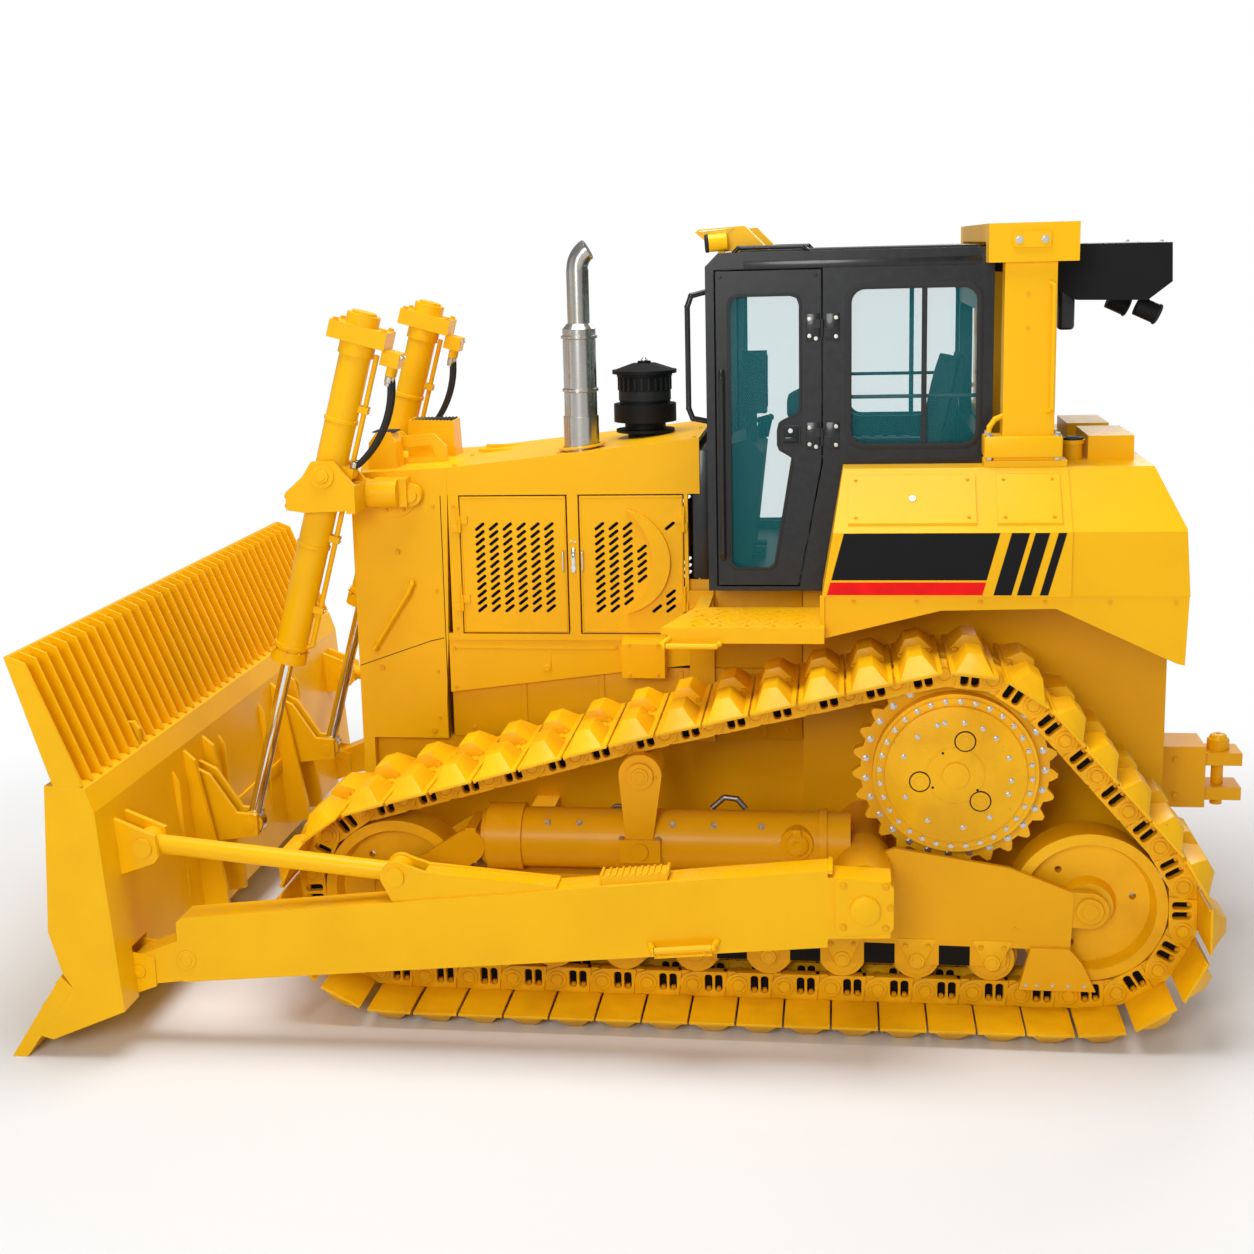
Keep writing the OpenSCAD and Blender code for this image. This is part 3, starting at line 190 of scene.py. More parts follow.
def worn_paint_shader():
    """Enamel on the shoes and links, rubbed through to steel in specks."""
    s = Shader("Track paint")
    patches = s.noise(3.0, 5.0)
    specks = s.noise(55.0, 5.0, 0.7)
    tone = s.mix(s.ramp(patches, 0.35, 0.7), rgb("#F4B806"), rgb("#E0A405"))
    bare = s.ramp(specks, 0.66, 0.72)
    s.set(Base_Color=s.mix(bare, tone, rgb("#7A6A55")), Roughness=0.38 + patches * 0.12 + bare * 0.15,
          Metallic=bare * 0.6, Coat_Weight=0.08, Coat_Roughness=0.2, Specular_IOR_Level=0.2)
    s.relief(specks, 0.12, 0.0008, 0.002)
    return s.material


def black_paint_shader():
    """Gloss black, a little uneven as paint is on a wide sheet."""
    s = Shader("Cab black")
    fine = s.noise(30.0, 3.0)
    peel = s.noise(500.0, 1.0)
    s.set(Base_Color=s.mix(s.ramp(fine, 0.3, 0.8), rgb("#0F1013"), rgb("#181A1D")),
          Roughness=0.26 + fine * 0.12,
          Coat_Weight=0.2, Coat_Roughness=0.1, Specular_IOR_Level=0.35)
    s.relief(peel, 0.05, 0.0004, 0.002)
    return s.material


def plastic_shader(name, colour, grain=900.0):
    """Moulded plastic or printed film, with a fine grain."""
    s = Shader(name)
    skin = s.noise(grain, 2.0)
    tone = s.noise(9.0, 3.0)
    s.set(Base_Color=s.mix(s.ramp(tone, 0.3, 0.75), colour, shaded(colour, 1.3)),
          Roughness=0.5 + skin * 0.15, Specular_IOR_Level=0.18)
    s.relief(skin, 0.25, 0.0004, 0.0025)
    return s.material


def steel_shader(name, colour, rough, stain=0.0):
    """Brushed or plated steel, browned by heat where it is stained."""
    s = Shader(name)
    streak = s.node("ShaderNodeTexNoise", {}, {"Vector": s.place, "Scale": 26.0, "Detail": 5.0})
    brush = s.noise(300.0, 2.0)
    heat = s.ramp(streak, 0.5, 0.75) * stain
    s.set(Base_Color=s.mix(heat, colour, rgb("#8A6A48")), Metallic=1.0 - heat * 0.5,
          Roughness=rough + brush * 0.1 + heat * 0.25)
    s.relief(brush, 0.05, 0.0003, 0.001)
    return s.material


def glass_shader():
    """Tinted safety glass, thin because a pane has two faces."""
    s = Shader("Cab glass")
    haze = s.noise(6.0, 3.0)
    s.set(Base_Color=s.mix(haze, rgb("#28A8B4"), rgb("#34B2BD")), Roughness=0.02 + haze * 0.03, Alpha=0.105,
          IOR=1.45,
          Specular_IOR_Level=0.4)
    return s.material


def mottled(name, scale, detail, first, second, rough, spread, **others):
    """A finish of two tones and the noise that mixes them, for cloth, rubber, iron and gaps."""
    s = Shader(name)
    tone = s.noise(scale, detail)
    s.set(Base_Color=s.mix(tone, rgb(first), rgb(second)), Roughness=rough + tone * spread, **others)
    return s, tone


def cloth_shader():
    """Woven seat cloth, whose threads cross."""
    s, _ = mottled("Seat cloth", 14.0, 3.0, "#24292B", "#3A4447", 0.85, 0.1)
    s.relief(s.wave("Y", 160.0, 0.4) * s.wave("DIAGONAL", 160.0, 0.4), 0.4, 0.001)
    return s.material


def rubber_shader():
    s, tone = mottled("Rubber", 60.0, 3.0, "#0D0D0E", "#19191A", 0.55, 0.2)
    s.relief(tone, 0.2, 0.0006)
    return s.material


def dark_iron_shader():
    s, tone = mottled("Engine iron", 12.0, 5.0, "#2A2824", "#4B463D", 0.6, 0.2, Metallic=0.2)
    s.relief(tone, 0.3, 0.002, 0.003)
    return s.material


def shade_shader():
    """Painted shade for gaps and recesses, near black with a slight brown mottle."""
    return mottled("Painted gap shade", 40.0, 3.0, "#060504", "#15110A", 0.7, 0.2, Specular_IOR_Level=0.2)[0].material


def lens_shader(name, colour, grooves=70.0):
    """Moulded lens with ribs."""
    s = Shader(name)
    ribs = s.wave("Y", grooves)
    s.set(Base_Color=s.mix(ribs * 0.4, colour, shaded(colour, 0.6)), Roughness=0.08, Specular_IOR_Level=0.8,
          Coat_Weight=0.7)
    s.relief(ribs, 0.3, 0.001)
    return s.material


MAKERS = {
    "paint": lambda: paint_shader("Machine yellow", rgb("#F1B503")),
    "frame": lambda: paint_shader("Chassis yellow", rgb("#E9A804"), 0.04),
    "track": worn_paint_shader,
    "black": black_paint_shader,
    "plastic": lambda: plastic_shader("Moulded plastic", rgb("#0C0D0F")),
    "trim": lambda: plastic_shader("Cab trim", rgb("#1E2224")),
    "bolt": lambda: steel_shader("Plated bolts", rgb("#C9C6BD"), 0.28),
    "chrome": lambda: steel_shader("Hard chrome", rgb("#DDE0E3"), 0.06),
    "exhaust": lambda: steel_shader("Exhaust steel", rgb("#B5B2AC"), 0.2, 0.15),
    "glass": glass_shader,
    "cloth": cloth_shader,
    "rubber": rubber_shader,
    "iron": dark_iron_shader,
    "bolt_yellow": lambda: paint_shader("Painted bolts", rgb("#E8A605"), 0.05, 0.001),
    "shade": shade_shader,
    "hose": lambda: steel_shader("Zinc pipe", rgb("#8C8D8E"), 0.35),
    "panel_black": lambda: plastic_shader("Black stripe film", rgb("#08080A"), 300.0),
    "panel_red": lambda: plastic_shader("Red stripe film", rgb("#DC0507"), 300.0),
    "lens": lambda: lens_shader("Lamp glass", rgb("#D9DEE0")),
    "amber": lambda: lens_shader("Amber lens", rgb("#E8C21C")),
    "dial": lambda: lens_shader("Dial glass", rgb("#1B2A2E"), 8.0),
}

NODE_FINISH = {
    "frame": "main_frame track_frame_left track_frame_right drawbar hitch_pin",
    "track": "track_left track_right sprockets idlers rollers",
    "black": "cab_frame cab_door_left cab_door_right",
    "plastic": "roof_unit air_precleaner",
    "trim": "console",
    "cloth": "seat",
    "glass": "cab_glass door_glass_left door_glass_right",
    "iron": "engine_block",
    "exhaust": "exhaust_stack",
    "chrome": "lift_rod_left lift_rod_right",
    "rubber": "lift_hoses_left lift_hoses_right",
}


# The camera that the photograph was taken with: its place in the source's millimetres, its turn in
# degrees, and how far the picture was cut off its middle
EYE = (1113, 9083, 3582)
YAW, PITCH_DOWN, ROLL = 8.25, 10.96, -1.53
SHIFT = (0.0300, -0.0286)

# Each lamp's name, place, width and share of the key light, and where all of them point, in metres
LAMPS = (("Above", (0.6, 1.2, 10.5), 7.0, 1.0), ("Left side", (1.6, 13.0, 6.0), 4.5, 0.72),
         ("Front", (9.0, 4.0, 4.0), 6.0, 0.04), ("Back", (-4.0, -8.0, 7.0), 5.0, 0.4))
LIT_POINT = Vector((0.0, 0.0, 1.2))

# The floor's half width, and how far out it starts to turn white and is white, in metres
FLOOR_HALF, FADE_FROM, FADE_TO = 60.0, 3.4, 6.5


class StageSizes(bpy.types.PropertyGroup):
    """What a user would change on the stage"""
    lens: bpy.props.FloatProperty(name="Lens", description="Focal length of the camera", default=50.92,
                                  unit="CAMERA")
    key: bpy.props.FloatProperty(name="Key light", description="Power of the large lamp overhead",
                                 default=900.0, unit="POWER")
    sky: bpy.props.FloatProperty(name="Sky", description="Strength of the light from all round", default=0.32)


def add_lamp(name, where, size, power):
    light = bpy.data.lights.new(name, "AREA")
    light.shape = "DISK"
    light.size = size
    light.energy = power
    lamp = bpy.data.objects.new(name, light)
    bpy.context.scene.collection.objects.link(lamp)
    lamp.location = where
    lamp.rotation_euler = (LIT_POINT - lamp.location).to_track_quat("-Z", "Y").to_euler()


def add_sky(scene, strength):
    """A soft light from all round, which the camera sees as plain white."""
    world = bpy.data.worlds.new("Sky")
    scene.world = world
    world.use_nodes = True
    tree = world.node_tree
    tree.nodes.clear()
    path = tree.nodes.new("ShaderNodeLightPath")
    seen = tree.nodes.new("ShaderNodeMath")
    seen.operation = "MAXIMUM"
    tree.links.new(path.outputs["Is Camera Ray"], seen.inputs[0])
    tree.links.new(path.outputs["Is Transmission Ray"], seen.inputs[1])
    mix = tree.nodes.new("ShaderNodeMixShader")
    tree.links.new(seen.outputs[0], mix.inputs[0])
    for slot, power in ((1, strength), (2, 1.0)):
        white = tree.nodes.new("ShaderNodeBackground")
        white.inputs["Color"].default_value = (1.0, 1.0, 1.0, 1.0)
        white.inputs["Strength"].default_value = power
        tree.links.new(white.outputs[0], mix.inputs[slot])
    out = tree.nodes.new("ShaderNodeOutputWorld")
    tree.links.new(mix.outputs[0], out.inputs[0])


def add_floor():
    """A pale floor that turns white some metres away from the machine."""
    bm = bmesh.new()
    bmesh.ops.create_grid(bm, x_segments=1, y_segments=1, size=FLOOR_HALF)
    mesh = bpy.data.meshes.new("Floor")
    bm.to_mesh(mesh)
    bm.free()
    plane = bpy.data.objects.new("Floor", mesh)
    bpy.context.scene.collection.objects.link(plane)
    s = Shader("Pale floor")
    x, y, _ = s.axes()
    far = s.ramp((x * x + y * y * 1.4).math("SQRT"), FADE_FROM, FADE_TO)
    s.set(Base_Color=rgb("#E2E2E2"), Roughness=0.9, Specular_IOR_Level=0.1)
    glow = s.node("ShaderNodeEmission", {}, {"Color": (1.0, 1.0, 1.0, 1.0)})
    blend = s.node("ShaderNodeMixShader", {}, {0: far, 1: s.surface.outputs[0], 2: glow})
    s.tree.links.new(blend.socket, s.tree.nodes["Material Output"].inputs[0])
    mesh.materials.append(s.material)


class BD_OT_stage(bpy.types.Operator):
    """Makes the camera, the lamps, the pale sky and the floor"""
    bl_idname = "bulldozer.stage"
    bl_label = "Stage"

    def execute(self, context):
        sizes = context.scene.bulldozer_stage
        scene = context.scene
        scene.view_settings.view_transform = "Standard"
        camera = bpy.data.objects.new("Camera", bpy.data.cameras.new("Camera"))
        scene.collection.objects.link(camera)
        scene.camera = camera
        camera.data.lens = sizes.lens
        camera.data.sensor_width = 36.0
        camera.data.shift_x, camera.data.shift_y = SHIFT
        camera.data.clip_end = 200.0
        yaw, pitch, roll = (math.radians(a) for a in (YAW, PITCH_DOWN, ROLL))
        ahead = Vector((math.sin(yaw) * math.cos(pitch), -math.cos(yaw) * math.cos(pitch), -math.sin(pitch)))
        side = ahead.cross(Vector((0, 0, 1))).normalized()
        top = side.cross(ahead)
        right = side * math.cos(roll) + top * math.sin(roll)
        above = top * math.cos(roll) - side * math.sin(roll)
        turn = Matrix((right, above, -ahead)).transposed().to_4x4()
        camera.matrix_world = Matrix.Translation(at(*EYE)) @ turn

        for name, where, size, share in LAMPS:
            add_lamp(name, where, size, sizes.key * share)
        add_sky(scene, sizes.sky)
        add_floor()
        return {"FINISHED"}


class BD_OT_finishes(bpy.types.Operator):
    """Gives every CAD node its finish"""
    bl_idname = "bulldozer.finishes"
    bl_label = "Finishes of the solids"

    def execute(self, context):
        finish_of = {n: f for f, names in NODE_FINISH.items() for n in names.split()}
        for name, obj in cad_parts.items():
            obj.data.materials.clear()
            obj.data.materials.append(finish(finish_of.get(name, "paint")))
        return {"FINISHED"}


# Mesh work in the source's millimetres

LEFT, FRONT, REAR, UP, DOWN = (0, 1, 0), (1, 0, 0), (-1, 0, 0), (0, 0, 1), (0, 0, -1)
SIDES = (("left", 1), ("right", -1))

# Planes that fine pieces sit on: Y of the body, the fenders and the cab's thin plates, Z of the platforms
BODY_SIDE = 480
FENDER_SIDE = 1180
CAB_PLATE = (779, 786)
PLATFORM_TOP = 1880

# Where the stack and the precleaner stand on the hood
EXHAUST = (2400, 330)
PRECLEANER_X = 2115

# The middle of the left yoke's pins, and how far ahead of and below it the rod's eye is
YOKE = (3600, 700, 2530)
ROD_RUN, ROD_DROP = 505, 1795

# How far the seat's back leans, in degrees
SEAT_LEAN = -11.5


def span(low, high):
    """The middle and the size of a range."""
    return (low + high) / 2, abs(high - low)


class Work:
    """A piece being made from small shapes, each in its own finish."""

    def __init__(self, finish_name="paint"):
        self.bm = bmesh.new()
        self.finishes = [finish_name]
        self.index = 0

    def use(self, finish_name):
        if finish_name not in self.finishes:
            self.finishes.append(finish_name)
        self.index = self.finishes.index(finish_name)

    def add(self, part, place=None, soft=0.0, segments=2):
        """Adds a shape at a place, with its sharp edges rounded, and gives its mesh back."""
        if soft:
            sharp = [e for e in part.edges if e.is_manifold and e.calc_face_angle(0.0) > 0.6]
            bmesh.ops.bevel(part, geom=sharp, offset=soft, offset_type="OFFSET", segments=segments,
                            profile=0.5, affect="EDGES", material=-1, clamp_overlap=True)
        if place is not None:
            bmesh.ops.transform(part, matrix=place, verts=part.verts)
        bmesh.ops.recalc_face_normals(part, faces=part.faces)
        for face in part.faces:
            face.material_index = self.index
        mesh = bpy.data.meshes.new("shape")
        part.to_mesh(mesh)
        part.free()
        self.bm.from_mesh(mesh)
        return mesh

    def repeat(self, mesh, places):
        for place in places:
            again = mesh.copy()
            again.transform(place)
            self.bm.from_mesh(again)
            bpy.data.meshes.remove(again)

    def block(self, x, y, z, soft=0.0, segments=2, place=None):
        """A box over three ranges."""
        (mx, dx), (my, dy), (mz, dz) = span(*x), span(*y), span(*z)
        part = bmesh.new()
        size = Matrix.Diagonal((dx, dy, dz, 1.0))
        bmesh.ops.create_cube(part, size=1.0, matrix=Matrix.Translation((mx, my, mz)) @ size)
        self.add(part, place, soft, segments)

    def rod(self, start, end, r, sides=24):
        """A round bar."""
        start, end = Vector(start), Vector(end)
        turn = (end - start).to_track_quat("Z", "Y").to_matrix().to_4x4()
        part = bmesh.new()
        bmesh.ops.create_cone(part, cap_ends=True, segments=sides, radius1=r, radius2=r,
                              depth=(end - start).length, matrix=Matrix.Translation((start + end) / 2) @ turn)
        self.add(part)

    def bent_rod(self, points, r, sides=12):
        """A bar that bends through points, with a ball at each bend."""
        for a, b in zip(points, points[1:]):
            self.rod(a, b, r, sides=sides)
        for p in points[1:-1]:
            self.ball(p, r, sides, 8)

    def ball(self, where, r, sides, rings):
        part = bmesh.new()
        bmesh.ops.create_uvsphere(part, u_segments=sides, v_segments=rings, radius=r)
        self.add(part, Matrix.Translation(where))

    def plate(self, points, y0, y1, holes=(), soft=0.0, place=None):
        """A sheet with an outline in X and Z, and with holes, that is drawn out along Y."""
        part = bmesh.new()
        edges = []
        for loop in (points, *holes):
            verts = [part.verts.new((x, 0.0, z)) for x, z in loop]
            edges += [part.edges.new((a, b)) for a, b in zip(verts, verts[1:] + verts[:1])]
        if holes:
            bmesh.ops.triangle_fill(part, use_beauty=True, use_dissolve=False, edges=edges, normal=(0, 1, 0))
        else:
            part.faces.new(part.verts[:])
        out = bmesh.ops.extrude_face_region(part, geom=part.faces[:])
        new = [g for g in out["geom"] if isinstance(g, bmesh.types.BMVert)]
        bmesh.ops.translate(part, verts=new, vec=(0.0, y1 - y0, 0.0))
        bmesh.ops.translate(part, verts=part.verts, vec=(0.0, y0, 0.0))
        self.add(part, place, soft)

    def turned(self, profile, place, steps=40):
        """A profile of radius and height spun round Z, at a place."""
        part = bmesh.new()
        verts = [part.verts.new((r, 0.0, h)) for r, h in profile]
        edges = [part.edges.new(pair) for pair in zip(verts, verts[1:])]
        bmesh.ops.spin(part, geom=verts + edges, cent=(0, 0, 0), axis=(0, 0, 1), angle=2 * math.pi,
                       steps=steps, use_merge=True)
        bmesh.ops.remove_doubles(part, verts=part.verts, dist=0.01)
        self.add(part, place)

    def disc(self, where, toward, r, h, step=0.0, sides=32):
        """A round cover with a chamfered rim that stands h out of its seat."""
        rim = min(h * 0.4, 3.0)
        profile = [(0.0, 0.0), (r, 0.0), (r, h - rim), (r - rim, h), (0.0, h)]
        if step:
            profile = profile[:-1] + [(r * 0.62, h), (r * 0.58, h + step), (0.0, h + step)]
        self.turned(profile, facing(where, toward), sides)

    def bolts(self, places, r=11.0, h=9.0, finish_name="bolt"):
        """Hexagon heads on washers, at places made by facing()."""
        held = self.index
        self.use(finish_name)
        part = bmesh.new()
        bmesh.ops.create_cone(part, cap_ends=True, segments=12, radius1=r * 1.35, radius2=r * 1.35, depth=2.5,
                              matrix=Matrix.Translation((0, 0, 1.0)))
        bmesh.ops.create_cone(part, cap_ends=True, segments=6, radius1=r, radius2=r * 0.92, depth=h,
                              matrix=Matrix.Translation((0, 0, 2.0 + h / 2)))
        head = self.add(part, places[0])
        self.repeat(head, [p @ places[0].inverted() for p in places[1:]])
        self.index = held

    def heads(self, spots, r, h, toward=LEFT, finish_name="bolt_yellow"):
        """Hexagon heads that all face one way."""
        self.bolts([facing(p, toward) for p in spots], r, h, finish_name)

    def both_sides(self):
        """Copies everything to the other side of the machine."""
        made = bmesh.ops.duplicate(self.bm, geom=self.bm.verts[:] + self.bm.edges[:] + self.bm.faces[:])
        verts = [g for g in made["geom"] if isinstance(g, bmesh.types.BMVert)]
        faces = [g for g in made["geom"] if isinstance(g, bmesh.types.BMFace)]
        bmesh.ops.scale(self.bm, vec=(1, -1, 1), verts=verts)
        bmesh.ops.reverse_faces(self.bm, faces=faces)

    def done(self, name, body, replaces=(), mirrored=False, sharp=35.0):
        """Turns the work into an object in the row's frame that rides on its body."""
        if mirrored:
            bmesh.ops.scale(self.bm, vec=(1, -1, 1), verts=self.bm.verts)
            bmesh.ops.reverse_faces(self.bm, faces=self.bm.faces)
        row = Matrix.Scale(0.001, 4) @ Matrix.Translation((-MIDDLE_X, 0, 0))
        bmesh.ops.transform(self.bm, matrix=row, verts=self.bm.verts)
        for face in self.bm.faces:
            face.smooth = True
        mesh = bpy.data.meshes.new(name)
        self.bm.to_mesh(mesh)
        self.bm.free()
        mesh.set_sharp_from_angle(angle=math.radians(sharp))
        for finish_name in self.finishes:
            mesh.materials.append(finish(finish_name))
        piece = bpy.data.objects.new(name, mesh)
        bpy.context.scene.collection.objects.link(piece)
        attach(piece, body)
        if replaces:
            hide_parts(*replaces)
        return piece


def facing(where, toward):
    """A matrix that puts Z along a direction, at a point."""
    return Matrix.Translation(where) @ Vector(toward).to_track_quat("Z", "Y").to_matrix().to_4x4()


def spun(where, degrees, axis="Z"):
    """A matrix that turns about one axis, at a point."""
    return Matrix.Translation(where) @ Matrix.Rotation(math.radians(degrees), 4, axis)


def circle(x, z, r, angles):
    """Points on a circle, one for each angle in degrees."""
    turns = [math.radians(a) for a in angles]
    return [(x + r * math.cos(t), z + r * math.sin(t)) for t in turns]


def ring_of(count, x, y, z, r, start=0.0):
    """Places evenly round a circle in X and Z."""
    return [(u, y, w) for u, w in circle(x, z, r, [start + 360 * i / count for i in range(count)])]


def rounded(x0, x1, z0, z1, r, steps=4):
    """The outline of a rectangle with round corners."""
    corners = ((x1 - r, z1 - r, 0), (x0 + r, z1 - r, 90), (x0 + r, z0 + r, 180), (x1 - r, z0 + r, 270))
    return [p for x, z, start in corners
            for p in circle(x, z, r, [start + 90 * i / steps for i in range(steps + 1)])]


# The tracks

TRACK_Y = 1117.5
PITCH = 215.0

# A shoe: its plate's height over the pins, the plate's thickness, its lugs' height and its half width
PIN_TO_PLATE = 64.0
PLATE_T = 14.0
LUG_H = 72.0
SHOE_HALF = 381.0

# The wheels that the pins run round: X and Z of the axle, and the radius out to the pins
IDLER_X = 3225.0
IDLER_R = math.hypot(412.0, PITCH / 2)
IDLER_Z = PIN_TO_PLATE + PLATE_T + LUG_H + IDLER_R
TEETH = 27
SPROCKET = (603.0, 1204.0)
CARRIER = (2034.0, 1185.0)
WHEELS = ((0.0, IDLER_Z, IDLER_R), (*SPROCKET, PITCH / (2 * math.sin(2 * math.pi / TEETH))),
          (*CARRIER, 157.0), (IDLER_X, IDLER_Z, IDLER_R))


def pin_line():
    """The closed line that the link pins follow, as arcs and straight runs."""
    def leave(i):
        (x, z, r), (u, w, q) = WHEELS[i % 4], WHEELS[(i + 1) % 4]
        return math.atan2(w - z, u - x) + math.acos((r - q) / math.hypot(u - x, w - z))
    parts = []
    for i in range(4):
        (x, z, r), (u, w, q) = WHEELS[i], WHEELS[(i + 1) % 4]
        turn = (leave(i - 1) - leave(i)) % (2 * math.pi)
        parts.append(("arc", r * turn, x, z, r, leave(i - 1)))
        parts.append(("run", math.sqrt((u - x) ** 2 + (w - z) ** 2 - (r - q) ** 2), x, z, r, leave(i)))
    return parts


def pins():
    """Every link pin's X and Z, in the track's order."""
    parts = pin_line()
    whole = sum(p[1] for p in parts)
    count = round(whole / PITCH)
    places = []
    for k in range(count):
        s = (k * whole / count - 80.0) % whole
        for kind, length, x, z, r, a in parts:
            if s <= length:
                break
            s -= length
        if kind == "arc":
            a -= s / r
            places.append((x + r * math.cos(a), z + r * math.sin(a)))
        else:
            places.append((x + r * math.cos(a) + s * math.sin(a), z + r * math.sin(a) - s * math.cos(a)))
    return places


class TrackSizes(bpy.types.PropertyGroup):
    """What a user would change on the tracks"""
    lug_tip: bpy.props.FloatProperty(name="Lug tip", description="Width of a lug at its tip, in millimetres",
                                     default=66.0)
    lug_base: bpy.props.FloatProperty(name="Lug base",
                                      description="Width of a lug on its plate, in millimetres",
                                      default=168.0)
    boss: bpy.props.FloatProperty(name="Pin boss",
                                  description="Radius of a link's ring round its pin, in millimetres",
                                  default=44.0)


def one_shoe(work, sizes, length):
    """One shoe with its two links, pin and bolts, about the middle of its chord, with Z outwards."""
    top = PIN_TO_PLATE + PLATE_T
    half = (PITCH - 8) / 2
    work.block((-half, half), (-SHOE_HALF, SHOE_HALF), (PIN_TO_PLATE, top), 2.5)
    for side in (1, -1):
        part = bmesh.new()
        bmesh.ops.create_cube(part, size=1.0)
        for v in part.verts:
            far = v.co.y * side > 0
            high = v.co.z > 0
            width = sizes.lug_tip if high else sizes.lug_base
            reach = (SHOE_HALF - (95.0 if high else 2.0)) if far else 83.0
            v.co = Vector((math.copysign(width / 2, v.co.x), side * reach, top + LUG_H if high else top - 2))
        work.add(part, None, 4.0)
    for side in (1, -1):
        work.block((half - 9, half), (side * 120, side * (SHOE_HALF - 6)), (PIN_TO_PLATE - 7, top - 4), 1.5)
    back, front = -length / 2, length / 2
    ahead = front - sizes.boss - 22
    low = PIN_TO_PLATE - 0.5
    nose = circle(back, 0, 61, range(255, 134, -15))
    shape = [(ahead, low), (back + 20, low), (back - 12, low - 3), *((x, -z) for x, z in nose if x < back),
             (back, -61), (ahead + 14, -61), (ahead + 6, 10)]
    windows = [rounded(back + 62 + i * 48 - 6, back + 62 + i * 48 + 30, -47, 38, 15) for i in (0, 1)]
    for side in (1, -1):
        y0, y1 = side * 46, side * 97
        work.use("track")
        work.plate(shape, y0, y1, windows, 2.0)
        work.plate([(ahead - 4, low), (ahead - 4, -61), (front - 20, -61), (front + 26, -30),
                    (front + 26, 30), (front - 6, low)], side * 52, side * 86)
        # Painted shade: a dark block behind the two windows of each link stands in for the shade inside them
        work.use("shade")
        work.block((back + 50, ahead - 10), (side * 47, side * 56), (-54, 50))
        work.use("track")
        out = facing((back, side * 96, 0), (0, side, 0))
        work.turned([(0, 0), (sizes.boss, 0), (sizes.boss, 5), (sizes.boss - 4, 8), (33, 8), (31, 3),
                     (27, 3), (25, 9), (0, 9)], out, 24)
        work.use("bolt_yellow")
        for i in (0, 1):
            x = back + 74 + i * 48
            work.rod((x, side * 70, 22), (x, side * 70, 48), 11, sides=6)
        work.use("track")
    work.rod((back, -52, 0), (back, 52, 0), 33, sides=20)
    work.heads([(x, y, top) for x in (-62, 62) for y in (-58, 58)], 14, 12, UP)


class BD_OT_tracks(bpy.types.Operator):
    """Makes both tracks: shoes with their lugs and bolts, links with windows, pins and bushings"""
    bl_idname = "bulldozer.tracks"
    bl_label = "Tracks"

    def execute(self, context):
        sizes = context.scene.bulldozer_tracks
        line = pins()
        gaps = [math.dist(a, b) for a, b in zip(line, line[1:])]
        shoe = Work("track")
        one_shoe(shoe, sizes, sum(gaps) / len(gaps))
        mesh = bpy.data.meshes.new("shoe")
        shoe.bm.to_mesh(mesh)
        shoe.bm.free()
        places = []
        for (x0, z0), (x1, z1) in zip(line, line[1:] + line[:1]):
            turn = Matrix.Rotation(-math.atan2(z1 - z0, x1 - x0), 4, "Y")
            places.append(Matrix.Translation(((x0 + x1) / 2, TRACK_Y, (z0 + z1) / 2)) @ turn)
        for name, side in SIDES:
            work = Work("track")
            work.finishes = list(shoe.finishes)
            work.repeat(mesh, places)
            work.done("track_shoes_" + name, "chassis", ["track_" + name], mirrored=side < 0)
        return {"FINISHED"}


def sprocket_details():
    """The bolted cover with its ports, the rim and the bolts of each sprocket."""
    x, z = SPROCKET
    out = TRACK_Y + 125
    work = Work("track")
    work.turned([(0, -2), (316, -2), (316, 2), (312, 4), (135, 4), (133, 2.5), (129, 2.5), (127, 5), (0, 5)],
                facing((x, out, z), LEFT), 72)
    work.turned([(352, -24), (352, -15), (330, -11), (318, -11), (318, -24)], facing((x, out, z), LEFT), 72)
    work.heads(ring_of(32, x, out - 15, z, 337, 3), 11, 9, LEFT, "bolt")
    angles = (20, 46, 70, 78, 98, 118, 135, 160, 185, 200, 232, 262, 300, 335)
    work.heads([(u, out + 4, w) for u, w in circle(x, z, 247, angles)], 9, 8, LEFT, "bolt")
    # Painted shade: a dark ring under each port cover stands in for the shade in the gap round it
    for u, w in circle(x, z, 163, (104, 348.5, 227.5)):
        work.use("shade")
        work.disc((u, out + 3, w), LEFT, 49, 2.4)
        work.use("track")
        work.disc((u, out + 3, w), LEFT, 43, 5.0, 2.0)
    # Painted shade: dark discs in the middle and at three small holes stand in for their shaded insides
    work.use("shade")
    work.disc((x, out + 4, z), LEFT, 10, 2)
    for u, w in circle(x, z, 118, (60, 330, 215)):
        work.disc((u, out + 4, w), LEFT, 6, 2)
    work.heads(ring_of(TEETH, x, TRACK_Y + 30, z, 403, 6.6), 12, 10, LEFT, "bolt")
    work.both_sides()
    work.done("sprocket_covers", "chassis")


def roller_details():
    """The brackets of the eight rollers, and painted shade between them."""
    work = Work("track")
    y = TRACK_Y + 137
    z = 317.5
    for i in range(8):
        x = 430 + i * 340
        work.use("track")
        work.plate([(x - 92, 424), (x + 92, 424), (x + 66, 372), (x + 30, z - 28), (x, z - 42),
                    (x - 30, z - 28), (x - 66, 372)], y - 1, y + 9, soft=2.0)
        work.disc((x, y + 9, z), LEFT, 37, 8, 4)
        work.heads([(x + s * 52, y + 9, 392) for s in (-1, 1)], 10, 8)
        if i < 7:
            # Painted shade: a dark sheet between each bracket and the next stands in for the shade there
            work.use("shade")
            work.block((x + 100, x + 240), (y - 1, y + 1.2), (z - 19, 416))
    work.both_sides()
    work.done("roller_brackets", "chassis")


